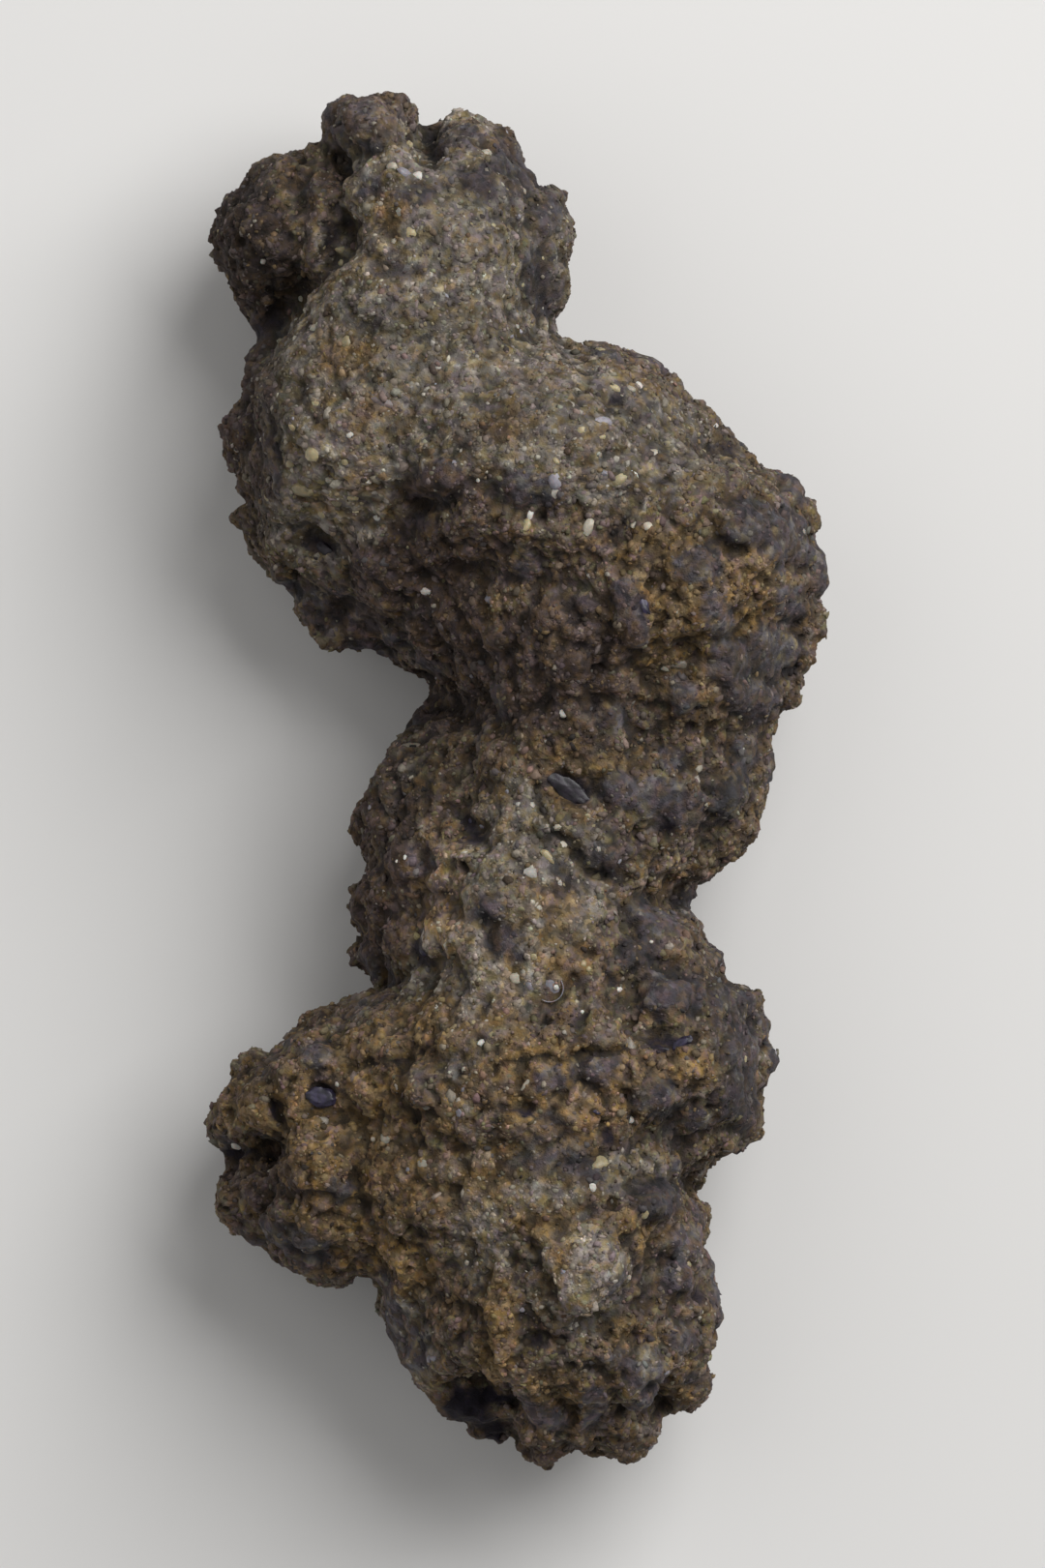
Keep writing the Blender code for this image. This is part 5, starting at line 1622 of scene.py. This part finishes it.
class Pebbles:
    """Single stones set into the surface: cut from balls, with flat facets and worn edges."""

    def __init__(self, name: str, fineness: int, facets: int, wear: float, seed: int) -> None:
        """Starts an empty set of pebbles.

        Args:
            name: The piece's name.
            fineness: How finely each ball is divided.
            facets: How many flats are cut on each.
            wear: How rough they are.
            seed: The start of its chance.
        """
        self.name = name
        self.fineness = fineness
        self.facets = facets
        self.wear = wear
        self.draw = np.random.default_rng(seed)
        self.bm = bmesh.new()
        self.paint = self.bm.verts.layers.float_color.new(TINT)

    def add(
        self,
        place: Vector,
        up: Vector,
        sizes: tuple[float, float, float],
        turn: float,
        tone: Tone,
        coarser: int = 0,
    ) -> None:
        """Adds one pebble.

        Args:
            place: Its middle in millimetres.
            up: The direction of its thin side.
            sizes: Its half sizes in millimetres, the thin one last.
            turn: Its turn about that direction, in degrees.
            tone: Its colour.
            coarser: How many times less finely it is divided than the others.
        """
        ball = bmesh.ops.create_icosphere(self.bm, subdivisions=self.fineness - coarser, radius=1.0)["verts"]
        shift = Vector(self.draw.uniform(-50.0, 50.0, 3).tolist())
        for _ in range(self.facets):
            cut = Vector(self.draw.normal(0.0, 1.0, 3).tolist()).normalized()
            reach = self.draw.uniform(0.62, 0.9)
            for vert in ball:
                over = vert.co.dot(cut) - reach
                if over > 0.0:
                    vert.co -= cut * over * 0.9
        for vert in ball:
            vert.co *= 1.0 + self.wear * noise.fractal(vert.co * 1.7 + shift, 1.0, 2.0, 3)
        side = up.cross(Vector((math.cos(math.radians(turn)), math.sin(math.radians(turn)), 0.0))).cross(up)
        lean = Matrix((side.normalized(), up.cross(side).normalized(), up)).transposed().to_4x4()
        move = Matrix.Translation(place) @ lean @ Matrix.Diagonal((*sizes, 1.0))
        bmesh.ops.transform(self.bm, matrix=Matrix.Scale(MM, 4) @ move, verts=ball)
        light = float(np.exp(self.draw.normal(0.0, 0.12)))
        colour = Vector(tone.linear) * light
        for vert in ball:
            vert[self.paint] = (colour[0], colour[1], colour[2], 1.0)

    def set_in(self, skin: Skin, seat: Seat) -> None:
        """Sets a pebble into the upper surface.

        Args:
            skin: The stone's surface.
            seat: Where it sits.
        """
        found = skin.under(seat.x, seat.y)
        if found is None:
            return
        place, _ = found
        reach = max(seat.half_width, seat.half_length)
        up = Vector((0.0, 0.0, 0.6))
        heights = []
        for dx, dy in ((0.0, 0.0), (reach, 0.0), (-reach, 0.0), (0.0, reach), (0.0, -reach)):
            near = skin.under(seat.x + dx, seat.y + dy)
            if near is not None:
                up += near[1]
                heights.append(near[0].z)
        thick = min(seat.half_width, seat.half_length) * seat.thickness
        heights.sort()
        level = max(place.z, heights[len(heights) // 2]) if heights else place.z
        middle = Vector((seat.x, seat.y, level)) - up.normalized() * thick * (1.0 - 2.0 * seat.proud)
        self.add(middle, up.normalized(), (seat.half_width, seat.half_length, thick), seat.turn, seat.tone)

    def finish(self, material: bpy.types.Material) -> bpy.types.Object:
        """Makes the piece.

        Args:
            material: Its finish.

        Returns:
            The new object.
        """
        for vert in self.bm.verts:
            vert.co.z = max(vert.co.z, LOWEST * MM)
        mesh = bpy.data.meshes.new(self.name)
        self.bm.to_mesh(mesh)
        self.bm.free()
        mesh.shade_smooth()
        mesh.set_sharp_from_angle(angle=math.radians(34.0))
        return MeshTools.placed(self.name, mesh, material)


@dataclass
class PaleGrains:
    """The larger pale grains: quartz, yellow sand and white specks that catch the eye, and a white bead
    painted as the shell's highlight.
    """

    seed: int = 41
    scattered: int = 260
    half_sizes: tuple[float, float] = (0.18, 0.42)
    clear_of_floor: float = 1.5

    TONES = (Tone.STRAW, Tone.QUARTZ, Tone.SAND, Tone.BONE, Tone.LILAC)
    SEATS = (
        Seat(-7.45, 39.4, 0.42, 0.5, 10, Tone.STRAW), Seat(-12.6, 38.35, 0.45, 0.35, 0, Tone.STRAW),
        Seat(-12.5, 37.4, 0.3, 0.3, 0, Tone.STRAW), Seat(-1.5, 40, 0.35, 0.3, 0, Tone.STRAW),
        Seat(-15.3, 20.9, 0.95, 0.65, 12, Tone.STRAW, 0.5),
        Seat(-14.6, 23.5, 0.75, 0.65, 0, Tone.STRAW, 0.42),
        Seat(-11.6, 20.4, 0.45, 0.4, 0, Tone.STRAW, 0.5),
        Seat(-16.2, 22.8, 0.4, 0.34, 40, Tone.STRAW, 0.5),
        Seat(-13.3, 21.6, 0.36, 0.3, 0, Tone.QUARTZ, 0.5),
        Seat(-13.9, 19.2, 0.4, 0.32, 70, Tone.STRAW, 0.5),
        Seat(-16, 25.4, 0.36, 0.3, 0, Tone.STRAW, 0.5), Seat(-12.2, 22.9, 0.3, 0.3, 0, Tone.STRAW, 0.5),
        Seat(-9.9, 18.9, 0.35, 0.3, 0, Tone.CHALK_AND_GLINT), Seat(-11.8, 24.8, 0.32, 0.28, 0, Tone.CHALK_AND_GLINT),
        Seat(-9.6, 27.2, 1, 0.45, -20, Tone.MAUVE, 0.2), Seat(-12.2, 31.6, 0.45, 0.5, 0, Tone.STRAW),
        Seat(-15.8, 31.9, 0.35, 0.35, 0, Tone.QUARTZ), Seat(-14.5, 32.6, 0.4, 0.35, 0, Tone.QUARTZ),
        Seat(-18.7, 40.5, 0.28, 0.28, 0, Tone.QUARTZ), Seat(-18.2, 37.6, 0.3, 0.34, 0, Tone.CHALK_AND_GLINT),
        Seat(-15.5, 35, 0.25, 0.3, 0, Tone.QUARTZ), Seat(-7.9, 43.8, 0.7, 0.4, -15, Tone.LILAC, 0.25),
        Seat(-6.9, 43.5, 0.45, 0.42, 20, Tone.CHALK_AND_GLINT, 0.3),
        Seat(-8.8, 44.2, 0.5, 0.35, 0, Tone.QUARTZ, 0.3),
        Seat(-2.1, 45.3, 0.55, 0.4, 30, Tone.QUARTZ, 0.3), Seat(0.85, 18.3, 0.36, 0.5, -20, Tone.STRAW),
        Seat(1.15, 19, 0.26, 0.45, -20, Tone.CHALK_AND_GLINT), Seat(5.3, 18.2, 0.4, 0.85, -20, Tone.QUARTZ, 0.45),
        Seat(8.6, 18.3, 0.3, 0.32, 0, Tone.QUARTZ), Seat(9.6, 18.2, 0.4, 0.36, 0, Tone.QUARTZ),
        Seat(7.6, 21.5, 0.65, 0.5, 20, Tone.STRAW), Seat(8.6, 22, 0.5, 0.22, -35, Tone.CHALK_AND_GLINT),
        Seat(3, 22.9, 0.4, 0.22, -40, Tone.STRAW, 0.45),
        Seat(6.5, 25.85, 0.8, 0.42, 10, Tone.LILAC, 0.24), Seat(7.3, 28.2, 0.5, 0.32, -30, Tone.STRAW),
        Seat(8.4, 28.2, 0.4, 0.34, 0, Tone.QUARTZ), Seat(9, 28.45, 0.34, 0.34, 0, Tone.CHALK_AND_GLINT),
        Seat(14.6, 25.7, 0.32, 0.32, 0, Tone.CHALK_AND_GLINT), Seat(4.85, 25.1, 0.38, 0.28, 0, Tone.STRAW),
        Seat(6.35, 24.6, 0.3, 0.26, 0, Tone.STRAW), Seat(10, 23.5, 0.75, 0.4, 10, Tone.QUARTZ, 0.25),
        Seat(6.2, 31.2, 0.4, 0.3, 0, Tone.STRAW), Seat(2.9, 21.4, 0.6, 0.7, 0, Tone.LILAC, 0.2),
        Seat(-2.6, 21.5, 0.16, 0.16, 0, Tone.CHALK_AND_GLINT, 0.5), Seat(-6.4, 13.6, 0.4, 0.34, 0, Tone.CHALK_AND_GLINT),
        Seat(-5.8, 12.6, 0.28, 0.26, 0, Tone.QUARTZ), Seat(-1.8, 13, 0.5, 0.45, 0, Tone.LILAC, 0.2),
        Seat(3.55, 4.8, 0.34, 0.36, 0, Tone.CHALK_AND_GLINT), Seat(11.8, 8.2, 0.8, 0.4, 0, Tone.DUST, 0.2),
        Seat(1.2, -6.7, 0.62, 0.48, 5, Tone.CHALK_AND_GLINT, 0.45),
        Seat(2.4, -5.5, 0.32, 0.7, 40, Tone.STRAW, 0.4), Seat(0.3, -1.8, 0.3, 0.22, 0, Tone.CHALK_AND_GLINT),
        Seat(1.3, -8.8, 0.26, 0.24, 0, Tone.QUARTZ), Seat(1.8, -9.2, 0.3, 0.26, 0, Tone.QUARTZ),
        Seat(-2.1, -5.8, 0.26, 0.24, 0, Tone.STRAW), Seat(-7.9, -5.6, 0.16, 0.2, 0, Tone.CHALK_AND_GLINT, 0.5),
        Seat(-8.5, -5.9, 0.14, 0.14, 0, Tone.CHALK_AND_GLINT, 0.5), Seat(-2.3, -18.9, 0.42, 0.32, 20, Tone.CHALK_AND_GLINT),
        Seat(-1.6, -18.3, 0.28, 0.24, 0, Tone.STRAW), Seat(-3.6, -20.9, 0.24, 0.3, 0, Tone.QUARTZ),
        Seat(4.9, -16.7, 0.16, 0.16, 0, Tone.CHALK_AND_GLINT, 0.5),
        Seat(9.9, -11.7, 0.16, 0.16, 0, Tone.CHALK_AND_GLINT, 0.5), Seat(7.5, -17.3, 0.36, 0.34, 0, Tone.STRAW),
        Seat(8.4, -19.1, 0.42, 0.75, 10, Tone.SAND, 0.35), Seat(7.6, -15.1, 0.3, 0.22, 0, Tone.CHALK_AND_GLINT),
        Seat(1.4, -12.7, 0.28, 0.3, 0, Tone.STRAW), Seat(5, -13.2, 0.3, 0.3, 0, Tone.STRAW),
        Seat(0.1, -14.3, 0.5, 0.5, 0, Tone.QUARTZ, 0.25),
        Seat(1.2, -14.8, 0.42, 0.5, 0, Tone.LILAC, 0.25),
        Seat(2.75, -14.85, 0.75, 0.7, 30, Tone.LILAC, 0.22),
        # Painted highlight: a small white bead where the light gleams on the shell's dome.
        Seat(3, -14.9, 0.2, 0.24, 0, Tone.CHALK_AND_GLINT, 0.9),
        Seat(0.9, -21.8, 0.16, 0.75, -40, Tone.QUARTZ, 0.3),
        Seat(-20.3, -26.65, 0.5, 0.34, -20, Tone.CHALK_AND_GLINT, 0.6),
        Seat(-12.8, -22, 0.2, 0.2, 0, Tone.CHALK_AND_GLINT, 0.5), Seat(-9.4, -25.9, 0.5, 0.4, 0, Tone.QUARTZ),
        Seat(-10.2, -25.9, 0.26, 0.26, 0, Tone.QUARTZ),
        Seat(6.2, -27.5, 0.85, 0.6, 25, Tone.STRAW, 0.3),
        Seat(5.65, -29.3, 0.32, 0.36, 0, Tone.CHALK_AND_GLINT, 0.45),
        Seat(8.4, -24.5, 0.3, 0.3, 30, Tone.CHALK_AND_GLINT, 0.45), Seat(9.4, -31.2, 0.4, 0.5, 0, Tone.STRAW),
        Seat(12.6, -35, 0.28, 0.28, 0, Tone.STRAW), Seat(13.4, -39, 0.26, 0.22, 0, Tone.QUARTZ),
        Seat(11, -42.8, 0.3, 0.3, 0, Tone.LILAC), Seat(-7.5, 2.5, 1, 0.4, -25, Tone.SAND, 0.2),
        Seat(5.4, -13.6, 0.24, 0.24, 0, Tone.STRAW), Seat(-6.6, -27.6, 0.5, 0.45, 0, Tone.QUARTZ, 0.25),
        Seat(-4.6, -47, 0.2, 0.16, 0, Tone.CHALK_AND_GLINT, 0.5),
        Seat(-1.6, -48.6, 0.18, 0.2, 0, Tone.CHALK_AND_GLINT, 0.5),
    )

    def build(self, skin: Skin) -> bpy.types.Object:
        """Sets the pale grains in.

        Args:
            skin: The stone's surface.

        Returns:
            The piece.
        """
        pebbles = Pebbles("pale_grains", 2, 8, 0.12, self.seed)
        for seat in self.SEATS:
            pebbles.set_in(skin, seat)
        draw = np.random.default_rng(self.seed + 1)
        clear = skin.points[:, 2] > self.clear_of_floor
        likely = skin.ground.sand * clear + 0.05 * clear
        for at in draw.choice(len(likely), self.scattered, p=likely / likely.sum(), replace=False):
            up = Vector(skin.normals[at])
            size = float(draw.uniform(*self.half_sizes))
            sizes = (size, size * float(draw.uniform(0.7, 1.1)), size * 0.7)
            tone = self.TONES[int(draw.integers(len(self.TONES)))]
            middle = Vector(skin.points[at]) - up * size * 0.3
            pebbles.add(middle, up, sizes, float(draw.uniform(0, 180)), tone, 1)
        return pebbles.finish(CrystalFinish().material())


@dataclass
class GlossyPits:
    """Dark glossy inclusions in pits and slots, with pale lilac strips as painted highlights on two of them.
    """

    seed: int = 51

    SEATS = (
        Seat(3.95, -0.7, 1.85, 0.72, -36, Tone.TAR, 0.42, 0.4),
        Seat(3.95, -0.72, 1.2, 0.36, -36, Tone.DUSK, 0.8, 0.7),
        # Painted sheen: a thin lilac strip along the leaf's crest.
        Seat(3.8, -0.62, 0.7, 0.13, -38, Tone.LILAC, 1.5, 1),
        Seat(-14, -22.95, 1.15, 0.78, -3, Tone.DUSK, 0.62),
        # Painted highlight: a pale lilac stripe on the half-moon's dome.
        Seat(-13.35, -23.15, 0.22, 0.42, 0, Tone.LILAC, 0.95),
        Seat(12, -18.85, 1, 0.42, 24, Tone.DUSK, 0.35), Seat(10.5, -19.35, 0.8, 0.2, -6, Tone.TAR, 0.3),
        Seat(-14.15, 17, 1.5, 0.5, -30, Tone.TAR, 0.25, 0.4),
        Seat(9.4, 12.4, 0.34, 0.7, 20, Tone.DUSK, 0.3),
        Seat(-3.2, -2.9, 0.42, 0.5, 8, Tone.DUSK, 0.15, 0.5),
        Seat(5.9, -23.85, 0.4, 0.18, -20, Tone.DUSK, 0.3),
        Seat(-6.7, -12.3, 0.34, 0.5, 20, Tone.DUSK, 0.15, 0.5),
    )

    def build(self, skin: Skin) -> bpy.types.Object:
        """Sets the beads in.

        Args:
            skin: The stone's surface.

        Returns:
            The piece.
        """
        pebbles = Pebbles("glossy_beads", 4, 12, 0.16, self.seed)
        for seat in self.SEATS:
            pebbles.set_in(skin, seat)
        return pebbles.finish(TarFinish().material())


@dataclass
class ShellScrap:
    """A thin pale crescent of shell, standing on edge in the belly's sand."""

    x: float = 2.55
    y: float = -15.0
    radius: float = 0.98
    thickness: float = 0.04
    start: float = -125.0
    sweep: float = 160.0
    steps: int = 20

    ORDER = Vector((1.0, 7.3, 31.7))

    def build(self, skin: Skin) -> bpy.types.Object:
        """Sweeps a small disc along the crescent, which leaves a closed solid.

        Args:
            skin: The stone's surface.

        Returns:
            The piece.
        """
        bm = bmesh.new()
        ring = bmesh.ops.create_circle(bm, cap_ends=True, radius=self.thickness, segments=8)["verts"]
        stand = Matrix.Rotation(math.radians(90.0), 4, "X")
        bmesh.ops.transform(bm, matrix=Matrix.Translation((self.radius, 0, 0)) @ stand, verts=ring)
        bmesh.ops.scale(bm, vec=(1.0, 1.0, 2.2), verts=ring)
        bmesh.ops.rotate(bm, matrix=Matrix.Rotation(math.radians(self.start), 3, "Z"), verts=ring)
        bmesh.ops.spin(
            bm,
            geom=bm.verts[:] + bm.edges[:] + bm.faces[:],
            axis=(0.0, 0.0, 1.0),
            cent=(0.0, 0.0, 0.0),
            angle=math.radians(self.sweep),
            steps=self.steps,
            use_duplicate=False,
        )
        bmesh.ops.recalc_face_normals(bm, faces=bm.faces[:])
        bm.faces.sort(key=lambda face: face.calc_center_median().dot(self.ORDER))
        found = skin.under(self.x, self.y)
        place = found[0] + Vector((0.0, 0.0, 0.06))
        bmesh.ops.transform(bm, matrix=Matrix.Scale(MM, 4) @ Matrix.Translation(place), verts=bm.verts[:])
        paint = bm.verts.layers.float_color.new(TINT)
        for vert in bm.verts:
            vert[paint] = Tone.LILAC.linear
        mesh = bpy.data.meshes.new("shell_scrap")
        bm.to_mesh(mesh)
        bm.free()
        mesh.shade_smooth()
        return MeshTools.placed("shell_scrap", mesh, CrystalFinish().material())


@dataclass
class Studio:
    """A pale floor, soft light from the upper right, and a camera straight above."""

    frame_height: float = 113.95 * MM
    frame_middle: tuple[float, float] = (0.6 * MM, -0.3 * MM)
    sight_height: float = 13.0 * MM
    lens: float = 400.0
    sensor: float = 36.0
    floor_half: float = 0.9
    key_power: float = 7.0
    key_size: float = 0.62
    key_reach: float = 0.75
    key_from: tuple[float, float, float] = (0.52, 0.50, 0.72)
    fill_power: float = 0.9
    fill_size: float = 0.7
    fill_from: tuple[float, float, float] = (-0.6, 0.2, 0.75)
    world_light: float = 0.24

    def build(self) -> None:
        """Sets up floor, lights, world and camera."""
        self._floor()
        self._light("key", self.key_from, self.key_power, self.key_size)
        self._light("fill", self.fill_from, self.fill_power, self.fill_size)
        self._world()
        self._camera()
        bpy.context.scene.view_settings.view_transform = "Standard"

    def _floor(self) -> None:
        """Lays the pale floor."""
        bm = bmesh.new()
        bmesh.ops.create_grid(bm, x_segments=1, y_segments=1, size=self.floor_half)
        bmesh.ops.translate(bm, vec=(0.0, 0.0, -0.05 * MM), verts=bm.verts[:])
        mesh = bpy.data.meshes.new("floor")
        bm.to_mesh(mesh)
        bm.free()
        paint = Paint("pale_floor")
        paint.shader.inputs["Base Color"].default_value = (0.70, 0.69, 0.675, 1.0)
        paint.shader.inputs["Roughness"].default_value = 0.9
        mesh.materials.append(paint.material)
        floor = bpy.data.objects.new("floor", mesh)
        bpy.context.scene.collection.objects.link(floor)

    def _light(self, name: str, side: tuple[float, float, float], power: float, size: float) -> None:
        """Hangs a soft square light that faces the stone.

        Args:
            name: The light's name.
            side: The direction it shines from.
            power: Its power in watts.
            size: Its side in metres.
        """
        lamp = bpy.data.lights.new(name, "AREA")
        lamp.energy = power
        lamp.size = size
        holder = bpy.data.objects.new(name, lamp)
        away = Vector(side).normalized()
        holder.location = away * self.key_reach
        holder.rotation_euler = away.to_track_quat("Z", "Y").to_euler()
        bpy.context.scene.collection.objects.link(holder)

    def _world(self) -> None:
        """Gives the room a dim, even light."""
        world = bpy.data.worlds.new("room")
        world.use_nodes = True
        room = world.node_tree.nodes["Background"]
        room.inputs["Color"].default_value = (1.0, 1.0, 1.0, 1.0)
        room.inputs["Strength"].default_value = self.world_light
        bpy.context.scene.world = world

    def _camera(self) -> None:
        """Puts the camera straight above, head end up."""
        camera = bpy.data.cameras.new("camera")
        camera.lens = self.lens
        camera.sensor_width = self.sensor
        reach = self.frame_height * self.lens / self.sensor
        camera.clip_start = 0.01
        camera.clip_end = 50.0
        holder = bpy.data.objects.new("camera", camera)
        holder.location = (*self.frame_middle, self.sight_height + reach)
        bpy.context.scene.collection.objects.link(holder)
        bpy.context.scene.camera = holder


def main() -> None:
    """Builds the stone, what sits in it and the studio, and logs the face count of each piece of the stone.
    """
    logging.basicConfig(level=logging.INFO, format="%(message)s")
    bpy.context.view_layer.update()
    skin = StoneMass().build()
    SandCrust().build(skin)
    PaleGrains().build(skin)
    GlossyPits().build(skin)
    ShellScrap().build(skin)
    Studio().build()
    bpy.context.view_layer.update()


if __name__ == "__main__":
    main()
